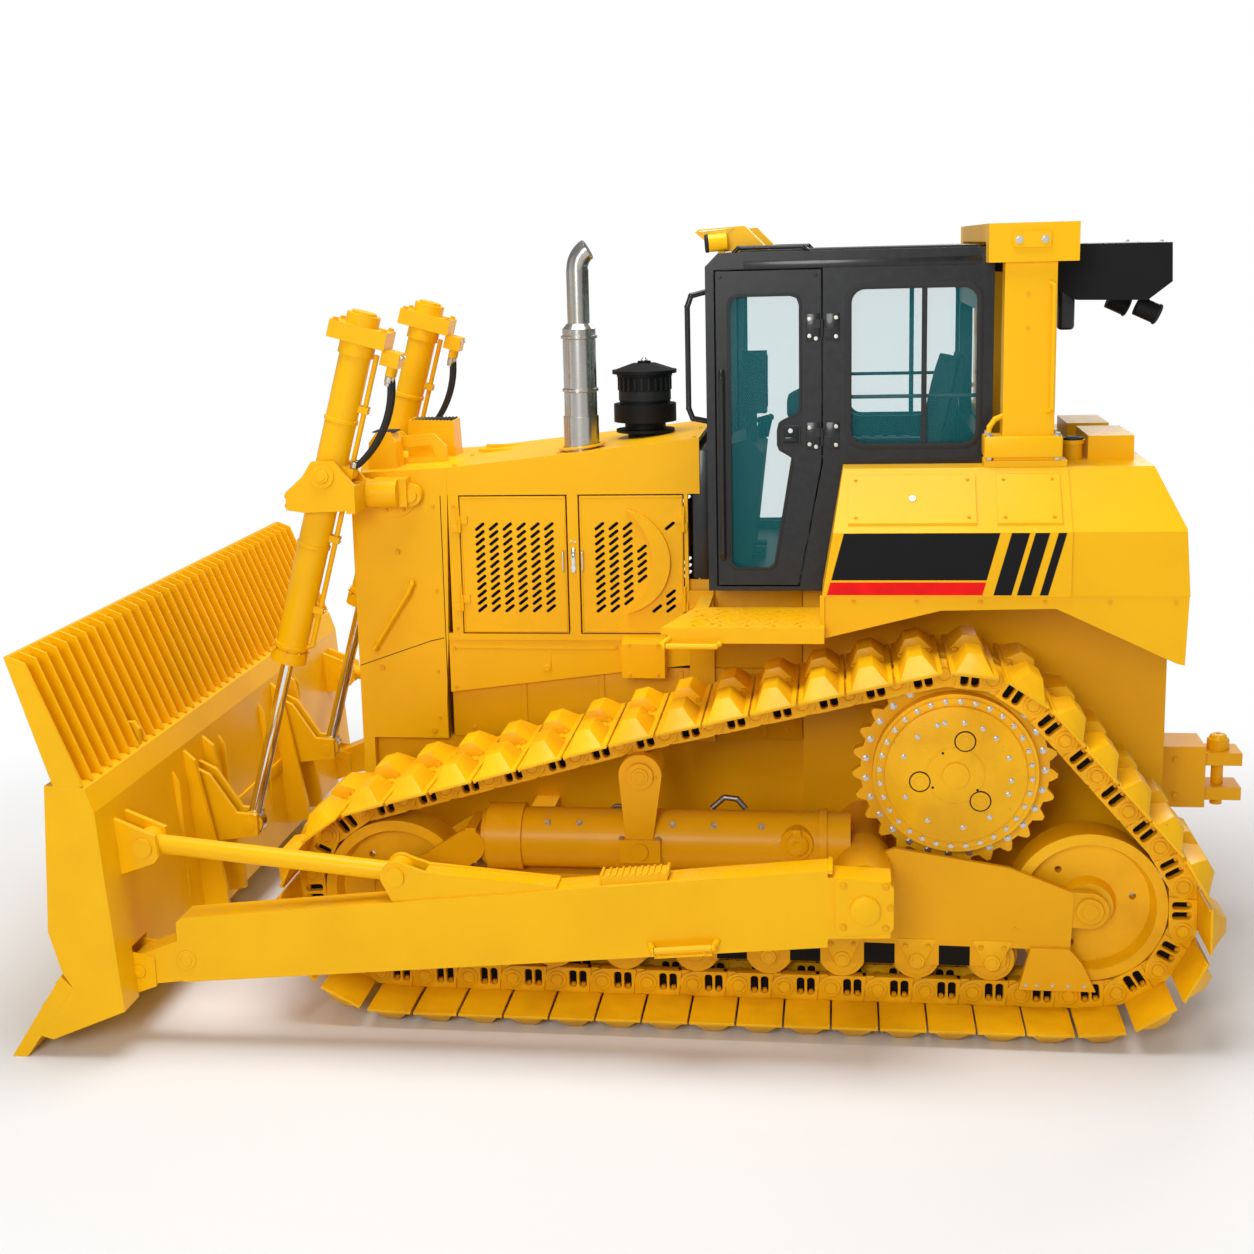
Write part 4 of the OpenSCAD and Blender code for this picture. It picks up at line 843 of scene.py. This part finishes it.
def frame_details():
    """Hubs, bolts and pipes of the track frames."""
    work = Work("frame")
    side = TRACK_Y + 127 + 6
    work.disc((0, side + 8, IDLER_Z), LEFT, 62, 7, 4)
    work.heads([(330, side, 480)], 15, 10)
    work.heads([(x, TRACK_Y + 151, 222) for x in (20, 90, 160, 230, 280)], 10, 8, LEFT, "bolt")
    work.disc((IDLER_X, TRACK_Y + 141, IDLER_Z), LEFT, 52, 8, 4)
    work.heads([(IDLER_X - 120, TRACK_Y + 135, IDLER_Z + 30)], 12, 9)
    for x in (1480, 1700, 1890, 2330, 2480):
        work.heads([(x, TRACK_Y + 98, 935)], 12, 9, (0, 0.69, 0.72), "bolt")
    for x in (1955, 2125):
        work.heads([(x, y, 880) for y in (TRACK_Y + 115, TRACK_Y + 155)], 12, 10, UP, "bolt")
    work.disc((CARRIER[0], TRACK_Y + 166, CARRIER[1]), LEFT, 40, 5, 3)
    work.heads([(CARRIER[0] - 72, TRACK_Y + 150, CARRIER[1] - 10)], 8, 7)
    work.turned([(0, 0), (46, 0), (46, 4), (40, 7), (20, 7), (16, 4), (0, 4)],
                facing((1316, TRACK_Y + 171, 870), LEFT), 32)
    work.block((1296, 1336), (TRACK_Y + 150, TRACK_Y + 178), (905, 945), 4.0)
    work.use("hose")
    work.bent_rod([(1560, TRACK_Y - 60, 968), (1600, TRACK_Y - 60, 1015), (1660, TRACK_Y - 60, 1022),
                   (1720, TRACK_Y - 60, 968)], 14)
    work.bent_rod([(2230, TRACK_Y - 40, 930), (2170, TRACK_Y - 20, 985), (2100, TRACK_Y, 990)], 10)
    work.both_sides()
    work.done("track_frame_fittings", "chassis")


class BD_OT_undercarriage(bpy.types.Operator):
    """Makes the bolts and covers of the sprockets, rollers, idlers and track frames"""
    bl_idname = "bulldozer.undercarriage"
    bl_label = "Undercarriage details"

    def execute(self, context):
        sprocket_details()
        roller_details()
        frame_details()
        return {"FINISHED"}


def side_details():
    """Seams, bolts, hinges and the lock on the body's sides."""
    work = Work("paint")
    y = BODY_SIDE
    for z in (2150, 2014):
        work.heads([(2436 + s * 10, y, z + s * 3) for s in (-1, 1)], 4, 3, LEFT, "chrome")
    work.use("chrome")
    work.block((2426, 2446), (y - 1, y + 9), (1993, 2118), 3.0)
    work.block((2430, 2442), (y + 8, y + 15), (2030, 2090), 3.0)
    work.use("paint")
    work.heads([(3037, y, z) for z in (1705, 2330)], 7, 5)
    work.block((2240, 3060), (y - 8, y - 4), (1600, 1606), 1.0)
    work.block((2566, 2572), (y - 8, y - 4), (1480, 1600), 1.0)
    work.disc((2590, y - 8, 1500), LEFT, 18, 5)
    work.heads([(x, y - 8, z) for x, z in ((3060, 1400), (3060, 1600), (2230, 1610))], 8, 6)
    work.heads([(x, 600, z) for x, z in ((2150, 1650), (2010, 1650), (2150, 1500), (2010, 1500))], 7, 5)
    for z in (2330, 1900, 1480, 1240):
        work.heads([(3140 if z > 1700 else 3150, y, z)], 8, 6)
    work.heads([(x, y, z) for x, z in ((3330, 2100), (3440, 1500), (3470, 900), (3180, 1170))], 12, 8)
    # The seams at the guard's edge and along its lower plate are thin lines of painted shade
    work.use("shade")
    work.block((3100, 3104), (y - 0.5, y + 0.6), (1130, 2384))
    work.plate([(3111, 1654), (3181, 1638), (3556, 1508), (3556, 1512), (3181, 1642), (3111, 1658)], y - 0.5,
               y + 0.8)
    work.use("paint")
    for z in (1840, 2240):
        for x in (1881, 3010):
            work.rod((x, y + 12, z - 44), (x, y + 12, z + 84), 6, sides=10)
    work.both_sides()
    work.done("side_fittings", "chassis")
    door_latches()


def closing_plates():
    """The plates between the engine's hood and the cab, and those that close the body low down."""
    work = Work("black")
    work.block((1752, 1840), (-468, 468), (1962, 2600), 6.0)
    for y in (-300, 0, 300):
        work.block((1838, 1846), (y - 90, y + 90), (2020, 2540), 4.0)
    work.use("frame")
    for s in (-1, 1):
        work.block((1306, 1868), (432 * s, 440 * s), (1500, 1952), 3.0)
        work.block((1306, 3088), (430 * s, 438 * s), (1132, 1498), 3.0)
        for x in (1480, 1900, 2300, 2700):
            work.block((x, x + 30), (436 * s, 446 * s), (1150, 1480), 3.0)
        work.heads([(x, 438 * s, z) for x in (1380, 1700, 2140, 2560, 2980) for z in (1180, 1450)], 9, 7,
                   (0, s, 0))
    work.done("closing_plates", "chassis")


def door_latches():
    """The latch and the raised seams of each engine door."""
    y = BODY_SIDE
    for side, s in SIDES:
        for end, x in (("front", 2487), ("rear", 2390)):
            work = Work("chrome")
            work.bent_rod([(x, y, 1998), (x, y + 20, 2006), (x, y + 20, 2096), (x, y, 2104)], 5)
            work.use("paint")
            low, high = (2470, 3004) if end == "front" else (1887, 2400)
            for a, b in ((low + 5, low + 9), (high - 9, high - 5)):
                work.block((a, b), (y - 0.5, y + 3), (1692, 2372), 1.0)
            for a, b in ((1692, 1696), (2368, 2372)):
                work.block((low + 5, high - 5), (y - 0.5, y + 3), (a, b), 1.0)
            work.done(f"door_trim_{side}_{end}", f"engine_door_{side}_{end}", mirrored=s < 0)


def hood_details():
    """What stands on the hood, the exhaust stack and the air precleaner."""
    work = Work("paint")
    for y in (-330, -120):
        work.block((2480, 3020), (y, y + 10), (2534, 2552), 3.0)
    for x, y in ((1830, 440), (1830, 0), (3030, 440), (3030, 0), (2500, 440)):
        z = 2659 - (x - 1802) * 0.1084 if x < 2900 else 2540 - (x - 2900) * 0.102
        work.heads([(x, y * s, z) for s in ((1, -1) if y else (1,))], 9, 7, (0.1, 0, 1))
    work.use("exhaust")
    x, y = EXHAUST
    for z in (2880, 3140):
        work.turned([(82, 0), (90, 4), (90, 16), (82, 20)], facing((x, y, z), UP), 40)
    work.heads([(x, y + 92, 2890)], 8, 10, LEFT, "bolt")
    work.use("iron")
    mouth = facing((x - 55, y, 3574.4), (-0.866, 0, 0.5))
    work.turned([(0, 0), (45, 0), (45, 1.2), (0, 1.2)], mouth, 32)
    work.use("paint")
    work.turned([(93, 0), (118, 0), (118, 8), (93, 10)], facing((x, y, 2606), (0.108, 0, 1)), 40)
    work.use("trim")
    work.turned([(131, 0), (134, 3), (134, 50), (131, 53)], facing((PRECLEANER_X, 0, 2806), UP), 48)
    for i in range(24):
        work.block((126, 139), (-6, 6), (2860, 2926), 1.0, place=spun((PRECLEANER_X, 0, 0), 15 * i))
    work.use("bolt")
    work.disc((PRECLEANER_X, 0, 3004), UP, 18, 12, 6)
    work.done("hood_fittings", "chassis")


def fender_details():
    """Bolts and treads of the platforms and fenders."""
    work = Work("paint")
    y = FENDER_SIDE
    spots = [(x, y + 32, PLATFORM_TOP) for x in (1300, 1420, 1540, 1660, 1780)]
    spots += [(1700 + i * 30, y - i * 95, PLATFORM_TOP) for i in range(5)]
    work.heads(spots, 7, 5, UP)
    work.heads([(x, y - 12, 1985) for x in (-340, -60, 220, 500, 780, 1060)], 8, 6)
    tread = Work("paint")
    for row in range(7):
        for col in range(9):
            x, v = 1260 + col * 62 + (row % 2) * 31, 840 + row * 54
            if x < 1880 - (y - v) * 0.18:
                tread.block((-17, 17), (-3.5, 3.5), (0, 3), 1.0,
                            place=spun((x, v, PLATFORM_TOP), 45 if (row + col) % 2 else -45))
    tread.both_sides()
    tread.done("platform_tread", "chassis")
    slope = (0, 0.749, 0.663)
    for x in (554, 1051, 184, 396):
        work.heads([(x, y - 230 * v + 7.5, 2300 + 260 * v + 6.6) for v in (0.22, 0.8)], 7, 5, slope)
    work.use("chrome")
    work.disc((800, y - 230 * 0.5 + 7.5, 2430 + 6.6), slope, 16, 6)
    work.both_sides()
    work.done("fender_fittings", "chassis")


def rear_details():
    """The rear cover plate, its bolts, the filler and the hitch pin's head."""
    work = Work("paint")
    for y in (-520, 520):
        for z in (2060, 2260):
            work.heads([(-400 + (z - 2011) * 0.075, y, z)], 10, 8, (-1, 0, 0.05))
    work.heads([(-420, y * s, z) for y in (120, 440) for s in (-1, 1) for z in (1100, 1700)], 13, 10, REAR)
    work.block((-432, -419), (-260, 260), (1180, 1640), 4.0)
    work.heads([(-432, y * s, z) for y in (60, 150, 235) for s in (-1, 1) for z in (1205, 1615)], 10, 8, REAR,
               "bolt")
    work.heads([(-432, 235 * s, z) for s in (-1, 1) for z in (1310, 1410, 1510)], 10, 8, REAR, "bolt")
    work.bolts([facing((-560, 130 * s, z), (0, s, 0)) for s in (-1, 1) for z in (780, 965)], 15, 10,
               "bolt_yellow")
    work.use("rubber")
    work.disc((55, 640, 2650), UP, 50, 10, 4)
    work.done("rear_fittings", "chassis")
    pin = Work("paint")
    pin.turned([(0, 0), (52, 0), (52, 6), (44, 10), (40, 24), (30, 30), (12, 30), (12, 16), (0, 16)],
               facing((-787, 0, 1038), UP), 32)
    pin.done("hitch_pin_cap", "hitch_pin")


class BD_OT_body(bpy.types.Operator):
    """Makes the body's seams, bolts, latches, steps and small pieces"""
    bl_idname = "bulldozer.body"
    bl_label = "Body details"

    def execute(self, context):
        side_details()
        closing_plates()
        hood_details()
        fender_details()
        rear_details()
        return {"FINISHED"}


class BD_OT_stripes(bpy.types.Operator):
    """Makes the black panel with its red band and the slanted stripes on both sides"""
    bl_idname = "bulldozer.stripes"
    bl_label = "Side stripes"

    def execute(self, context):
        y = FENDER_SIDE
        high, low = 2298, 2018
        lean = 76.0
        for name, side in SIDES:
            work = Work("panel_black")
            bands = [("panel_black", (1104, high), (420, high), (476, 2086), (1160, 2086)),
                     ("panel_red", (1164, 2076), (478, 2076), (494, low), (1180, low))]
            for wide, x in ((78, 370), (62, 268), (36, 169)):
                end = x - wide
                bands.append(("panel_black", (x, high), (end, high), (end + lean, low), (x + lean, low)))
            for index, (finish_name, *corners) in enumerate(bands):
                work.use(finish_name)
                work.plate(corners, y - 0.5, y + 1.0 + 0.1 * index)
            work.done("side_stripes_" + name, "chassis", mirrored=side < 0)
        return {"FINISHED"}


def window_rubbers():
    """The rubbers round the side, front and rear windows."""
    work = Work("rubber")
    x0, x1, z0, z1 = 490, 1085, 2640, 3378
    work.plate(rounded(x0 - 12, x1 + 12, z0 - 12, z1 + 12, 84, 8), 779.5, 784,
               [rounded(x0 + 16, x1 - 16, z0 + 16, z1 - 16, 62, 8)], 1.5)
    work.both_sides()
    for x, u, w, t in ((1740, 1, 2400, 3390), (430, -1, 2660, 3250)):
        wide = 690 if u > 0 else 660
        work.plate(rounded(-wide - 14, wide + 14, w - 14, t + 14, 70, 8), 0.0, 5.0,
                   [rounded(-wide + 14, wide - 14, w + 14, t - 14, 48, 8)], 1.5, spun((x, 0, 0), -90 * u))
    work.done("window_rubbers", "chassis")


def roof_details():
    """The roll bar's clamps and handles, the lamps and the roof's edges."""
    work = Work("paint")
    for s in (1, -1):
        work.heads([(x, s * 970, 3567) for x in (232, 343)], 13, 9, (0, s, 0), "bolt")
        work.use("paint")
        work.block((134, 478), (s * 786, s * 964), (2604, 2700), 9.0, 3)
        work.heads([(x, s * y, 2700) for x in (156, 456) for y in (812, 940)], 15, 14, UP, "bolt")
        work.heads([(x, s * 940, 2604) for x in (156, 456)], 13, 10, DOWN, "bolt")
        work.heads([(x, s * 926, z) for x, z in ((296, 3330), (296, 3180))], 10, 7, (0, s, 0))
        work.bent_rod([(204, s * 925, 2806), (184, s * 946, 2822), (184, s * 946, 3364),
                       (204, s * 925, 3380)], 12, 16)
        work.heads([(x, s * 946, 3515) for x in (110, 440)], 10, 8, (0, s, 0))
    for s in (1, -1):
        where, toward = (-330, s * 455, 3212), (-85, 0, -40)
        work.use("trim")
        work.turned([(46, 0), (50, 3), (50, 12), (44, 16)], facing(where, toward), 32)
        work.use("lens")
        work.disc(where, toward, 43, 6, 3)
        work.use("trim")
        where, toward = (1722, s * 748, 3586), (85, s * 10, -6)
        work.turned([(36, 0), (42, 3), (42, 14), (38, 18)], facing(where, toward), 32)
        work.use("lens")
        work.disc(where, toward, 36, 8, 3)
        work.use("amber")
        work.plate([(1672, 3606), (1776, 3638), (1764, 3646), (1640, 3652), (1600, 3655)],
                   s * 698.5 if s > 0 else -703, 703 if s > 0 else -698.5, soft=1.0)
        work.plate([(1682, 3553), (1789, 3636), (1786, 3641), (1674, 3560)], s * 530 if s > 0 else -690,
                   690 if s > 0 else -530, soft=1.0)
    work.use("black")
    work.block((40, 116), (428, 506), (3146, 3400), 18.0, 3)
    work.block((490, 1560), CAB_PLATE, (3464, 3500), 3.0)
    work.block((490, 1560), [-y for y in reversed(CAB_PLATE)], (3464, 3500), 3.0)
    work.heads([(x, s * 700, 3541) for x in (520, 900, 1300) for s in (-1, 1)], 9, 6, UP, "black")
    work.use("trim")
    for y in range(-440, 401, 120):
        work.block((-394, -388), (y, y + 60), (3400, 3500), 2.0)
    work.heads([(x, s * 500, 3541) for x in (-340, 60, 380) for s in (-1, 1)], 8, 6, UP, "bolt")
    work.done("roof_fittings", "chassis")


def door_details():
    """Rubbers, lock boxes and hinges of the cab doors, and the wiper."""
    for name, s in SIDES:
        work = Work("rubber")
        rim = [(1640, 2085), (1640, 3315), (1622, 3343), (1595, 3352), (1335, 3352), (1308, 3342),
               (1297, 3312), (1297, 2815), (1312, 2790), (1372, 2772), (1392, 2757), (1400, 2728),
               (1400, 2662), (1390, 2636), (1346, 2610), (1334, 2580), (1416, 2082), (1438, 2060),
               (1618, 2060)]
        middle = (1490, 2700)
        inner = [(x + math.copysign(13, middle[0] - x), z + math.copysign(13, middle[1] - z)) for x, z in rim]
        for i in (9, 10):
            inner[i] = (rim[i][0] + 14, rim[i][1])
        for i in (11, 12, 13, 14):
            inner[i] = (rim[i][0] + 14, rim[i][1] - 8)
        for i in (7, 8):
            inner[i] = (rim[i][0] + 13, rim[i][1] + 10)
        work.plate(rim, 779.6, 783, [inner], 1.0)
        work.use("trim")
        work.block((1311, 1381), (795, 799), (2662, 2738), 3.0)
        work.use("chrome")
        work.rod((1350, 798, 2722), (1350, 806, 2722), 11, sides=20)
        work.use("black")
        work.block((1322, 1380), (798, 803), (2672, 2692), 2.0)
        for z in (2990, 2130):
            work.rod((1668, 779, z), (1668, 800, z), 18, sides=20)
        for z in (2632, 3132):
            work.block((1214, 1276), CAB_PLATE, (z, z + 126), 2.0)
            work.heads([(x, 786, z + h) for x, h in ((1262, 24), (1262, 102), (1232, 12))], 7, 4, LEFT,
                       "bolt")
        work.heads([(x, 780, z) for x, z in ((1672, 3430), (1232, 3430))], 7, 5, LEFT, "black")
        work.done("cab_door_trim_" + name, "cab_door_" + name, mirrored=s < 0)
    work = Work("black")
    for s in (1, -1):
        for z in (2632, 3132):
            work.block((1124, 1186), [s * y for y in CAB_PLATE], (z, z + 126), 2.0)
            work.heads([(1140, s * 786, z + h) for h in (20, 106)], 7, 4, (0, s, 0), "bolt")
    work.use("rubber")
    work.rod((1741, -180, 2350), (1750, -180, 2350), 26, sides=24)
    work.rod((1750, -180, 2350), (1752, 210, 2960), 6, sides=8)
    work.block((1747, 1753), (205, 215), (2640, 3260), 1.0)
    work.done("cab_front_fittings", "chassis")


def inside():
    """Levers, dial panel, arm pads and pedals."""
    work = Work("trim")
    work.use("dial")
    work.block((1474, 1480), (215, 315), (2790, 3040), 3.0)
    work.use("trim")
    for i in range(4):
        x, y = 1480 + i * 16, -180 + i * 50
        work.rod((x + 20, y, 2590), (x, y, 2680), 9, sides=12)
        work.ball((x, y, 2692), 18, 16, 10)
    for s in (1, -1):
        work.block((700, 1220), (s * 350, s * 475), (2538, 2552), 6.0)
        for i in range(5):
            work.block((760 + i * 70, 800 + i * 70), (s * 380, s * 440), (2550, 2562), 4.0)
    for y in (-120, 60):
        work.block((1500, 1670), (y, y + 100), (2030, 2060), 6.0)
    work.done("cab_controls", "chassis")
    seat()


# A pad's edge thickness as a share of its middle's, its channels' depth, and how much its corners draw in
PAD_EDGE, PAD_CHANNEL, PAD_CORNER = 0.62, 0.16, 0.035


def cushion(name, low, high, lean=0.0, seams=3):
    """A crowned pad with sewn channels across it."""
    part = bmesh.new()
    size = [high[i] - low[i] for i in range(3)]
    middle = [(high[i] + low[i]) / 2 for i in range(3)]
    bmesh.ops.create_cube(part, size=1.0, matrix=Matrix.Diagonal((*size, 1.0)))
    bmesh.ops.subdivide_edges(part, edges=part.edges, cuts=13, use_grid_fill=True)
    thin = size.index(min(size))
    wide = [i for i in range(3) if i != thin]
    for v in part.verts:
        u, w = (2 * v.co[i] / size[i] for i in wide)
        crown = (1 - u ** 4) * (1 - w ** 4)
        channel = 1 - PAD_CHANNEL * math.exp(-((abs(u) * seams) % 1.0 - 0.5) ** 2 * 90) * (crown ** 0.5)
        v.co[thin] *= (PAD_EDGE + (1 - PAD_EDGE) * crown) * channel
        for i, other in zip(wide, (w, u)):
            v.co[i] *= 1 - PAD_CORNER * abs(other) ** 6
    bmesh.ops.smooth_vert(part, verts=part.verts, factor=0.4, use_axis_x=True, use_axis_y=True,
                          use_axis_z=True)
    work = Work("cloth")
    work.add(part, spun(middle, lean, "Y"))
    piece = work.done(name, "chassis", sharp=80.0)


def seat():
    """The seat's pads, its bellows, base and arm rests."""
    cushion("seat_cushion", (632, -250, 2345), (1132, 250, 2455))
    cushion("seat_backrest", (590, -235, 2475), (690, 235, 3010), SEAT_LEAN)
    work = Work("plastic")
    work.block((700, 1000), (-170, 170), (2022, 2070), 10.0)
    for i in range(6):
        z = 2080 + i * 40
        work.block((720, 980), (-150, 150), (z, z + 22), 8.0)
    work.block((690, 1020), (-190, 190), (2320, 2346), 8.0)
    work.use("trim")
    for s in (1, -1):
        work.block((660, 1085), (s * 266, s * 326), (2512, 2566), 18.0, 3)
        work.block((672, 738), (s * 252, s * 290), (2400, 2516), 8.0)
    work.block((560, 600), (-225, 225), (2470, 3020), 14.0, 3,
               place=spun((580, 0, 2745), SEAT_LEAN, "Y") @ Matrix.Translation((-580, 0, -2745)))
    work.done("seat_base", "chassis", ["seat"])


class BD_OT_cab(bpy.types.Operator):
    """Makes the cab's rubbers, lamps, bolts, wiper, seat and controls"""
    bl_idname = "bulldozer.cab"
    bl_label = "Cab details"

    def execute(self, context):
        window_rubbers()
        roof_details()
        door_details()
        inside()
        return {"FINISHED"}


# The lift cylinder's own axes, whose Z runs up along it from the yoke's pins
CYLINDER = Matrix.Translation(YOKE) @ Matrix.Rotation(-math.atan2(ROD_RUN, ROD_DROP), 4, "Y")


def blade_details():
    """Bolts of the cutting edge, its joints and the blade's back ribs."""
    work = Work("paint")
    slope = Vector((719.0, 0, -1000.0)).normalized()
    out = Vector((slope.z, 0, -slope.x))
    for i in range(18):
        y = -1870 + i * 220
        for t in (0.14, 0.42):
            top, low = Vector((4622, y, 399)), Vector((4888, y, 0))
            work.heads([top + (low - top) * t], 17, 8, -out)
    # The joints of the cutting edge are thin plates of painted shade
    work.use("shade")
    for y in (-1310, -650, 0, 650, 1310):
        work.plate([(4623, 398), (4886, 3), (4887, 4), (4625, 399)], y - 1.5, y + 1.5)
    work.use("paint")
    for s in (1, -1):
        for y in (330, 1000):
            work.plate([(4396, 1100), (4360, 1040), (4340, 500), (4345, 320)], s * y, s * y + 20, soft=2.0)
    work.block((4350, 4390), (-560, 560), (620, 700), 6.0)
    work.done("blade_fittings", "blade")


def arm_details():
    """Treads, caps and bolts of the push arms."""
    work = Work("paint")
    y0, y1 = 1590.5, 1750.5
    for i in range(9):
        x = 1900 + i * 28
        z = 884 - (x - 1868) * 0.096
        work.block((x, x + 12), (y0 + 26, y1 - 26), (z - 2, z + 7), 2.0)
    for x, z in ((1868, 884), (2160, 856)):
        work.block((x - 6, x + 8), (y0 + 30, y1 - 30), (z - 20, z + 14), 3.0)
    work.heads([(x, y1 + 16, z) for x, z in ((925, 860), (1105, 860), (925, 672), (1105, 672), (905, 765))],
               13, 9)
    work.turned([(0, 0), (62, 0), (62, 4), (57, 7), (0, 7)], facing((1012, y1 + 28, 750), LEFT), 40)
    work.block((1150, 1172), (y0 + 2, y1 + 5), (905, 930), 4.0)
    work.heads([(1172, y1 - 30, z) for z in (640, 860)], 12, 9, FRONT)
    work.heads([(x, y1 + 34, 544 - (x - 1672) * 0.086) for x in (1700, 1900)], 7, 3)
    for x, z in ((4090, 420), (4320, 360)):
        work.disc((x, y1 + (8 if x > 4200 else 0), z), LEFT, 32 if x > 4200 else 46, 6, 3)
    work.both_sides()
    work.done("push_arm_fittings", "blade")


def cylinder_details():
    """Rings, clamps, fittings and wiper of the lift cylinders, and the rods' eyes."""
    for name, s in SIDES:
        work = Work("paint")
        for x in (-128, 116):
            for y in (-70, 70):
                work.heads([(x, y, 742)], 15, 12, UP)
        for z in (-380, 260):
            work.turned([(78, 0), (84, 3), (84, 20), (78, 23)], facing((0, 0, z), UP), 40)
        work.heads([(-122, 0, z + 17) for z in (-700, -330, 330)], 7, 6, REAR, "bolt")
        work.heads([(-226, y, 640) for y in (-34, 34)], 8, 7, REAR, "bolt")
        work.heads([(x, y, -918) for x, y in circle(0, 0, 90, range(0, 360, 45))], 7, 6, UP)
        work.use("bolt")
        for y in (-30, 30):
            work.turned([(14, 0), (19, 2), (19, 30), (16, 34), (16, 46), (13, 48)],
                        facing((-192, y, 541), DOWN), 20)
            work.turned([(14, 0), (19, 2), (19, 26), (14, 30)], facing((-118, y, 62), UP), 20)
        work.use("rubber")
        work.turned([(33, 0), (44, 2), (46, 10), (40, 14), (33, 14)], facing((0, 0, -982), DOWN), 32)
        bmesh.ops.transform(work.bm, matrix=CYLINDER, verts=work.bm.verts)
        work.done("cylinder_fittings_" + name, "lift_barrel_" + name, mirrored=s < 0)
        rod = Work("chrome")
        rod.use("paint")
        eye = CYLINDER @ Vector((0, 0, -math.hypot(ROD_RUN, ROD_DROP)))
        for side in (-1, 1):
            where = (eye.x, YOKE[1] + side * 29, eye.z)
            rod.turned([(43, 0), (60, 0), (60, 3), (46, 5)], facing(where, (0, side, 0)), 32)
        rod.done("rod_eye_rings_" + name, "lift_rod_" + name, mirrored=s < 0)


def yoke_details():
    """Pin covers and bolts of the yokes, and what stands on the radiator guard."""
    work = Work("paint")
    for s in (1, -1):
        work.disc((YOKE[0], YOKE[1] + s * 137, YOKE[2]), (0, s, 0), 34, 6, 3)
    work.heads([(3790, y, z) for y in (600, 800) for z in (2385, 2432)], 11, 9, FRONT)
    work.heads([(x, 540, z) for x, z in ((3400, 2412), (3330, 2404))], 9, 7)
    work.disc((3395, 540, 2412), LEFT, 40, 8, 4)
    work.heads([(x, 492, z) for x, z in circle(3330, 2390, 88, (60, 120, 180, 240, 300))], 8, 6)
    work.both_sides()
    work.use("trim")
    work.block((3350, 3470), (230, 350), (2689, 2696), 3.0)
    work.use("lens")
    work.block((3486, 3494), (235, 345), (2520, 2620), 3.0)
    work.use("trim")
    for i in range(12):
        work.block((3150 + i * 19, 3158 + i * 19), (-225, -70), (2703, 2714), 1.0)
    work.done("yoke_fittings", "chassis")


class BD_OT_work_gear(bpy.types.Operator):
    """Makes the bolts, fittings and pads of the blade, push arms and lift cylinders"""
    bl_idname = "bulldozer.work_gear"
    bl_label = "Work gear details"

    def execute(self, context):
        blade_details()
        arm_details()
        cylinder_details()
        yoke_details()
        return {"FINISHED"}


class BD_PT_panel(bpy.types.Panel):
    bl_label = "Bulldozer"
    bl_idname = "BD_PT_panel"
    bl_space_type = "VIEW_3D"
    bl_region_type = "UI"
    bl_category = "Bulldozer"

    def draw(self, context):
        for group_name in GROUPS:
            group = getattr(context.scene, group_name)
            for name in group.bl_rna.properties.keys():
                if name not in ("rna_type", "name"):
                    self.layout.prop(group, name)
        for operator in OPERATORS:
            self.layout.operator(operator.bl_idname)


OPERATORS = (BD_OT_stage, BD_OT_finishes, BD_OT_tracks, BD_OT_undercarriage, BD_OT_body, BD_OT_stripes,
             BD_OT_cab,
             BD_OT_work_gear)
GROUPS = {"bulldozer_stage": StageSizes, "bulldozer_tracks": TrackSizes}
CLASSES = tuple(GROUPS.values()) + OPERATORS + (BD_PT_panel,)


def register():
    for cls in CLASSES:
        bpy.utils.register_class(cls)
    for name, group in GROUPS.items():
        setattr(bpy.types.Scene, name, bpy.props.PointerProperty(type=group))


def unregister():
    for name in GROUPS:
        delattr(bpy.types.Scene, name)
    for cls in reversed(CLASSES):
        bpy.utils.unregister_class(cls)


def main():
    register()
    for operator in OPERATORS:
        group, name = operator.bl_idname.split(".")
        getattr(getattr(bpy.ops, group), name)()


if __name__ == "__main__":
    main()
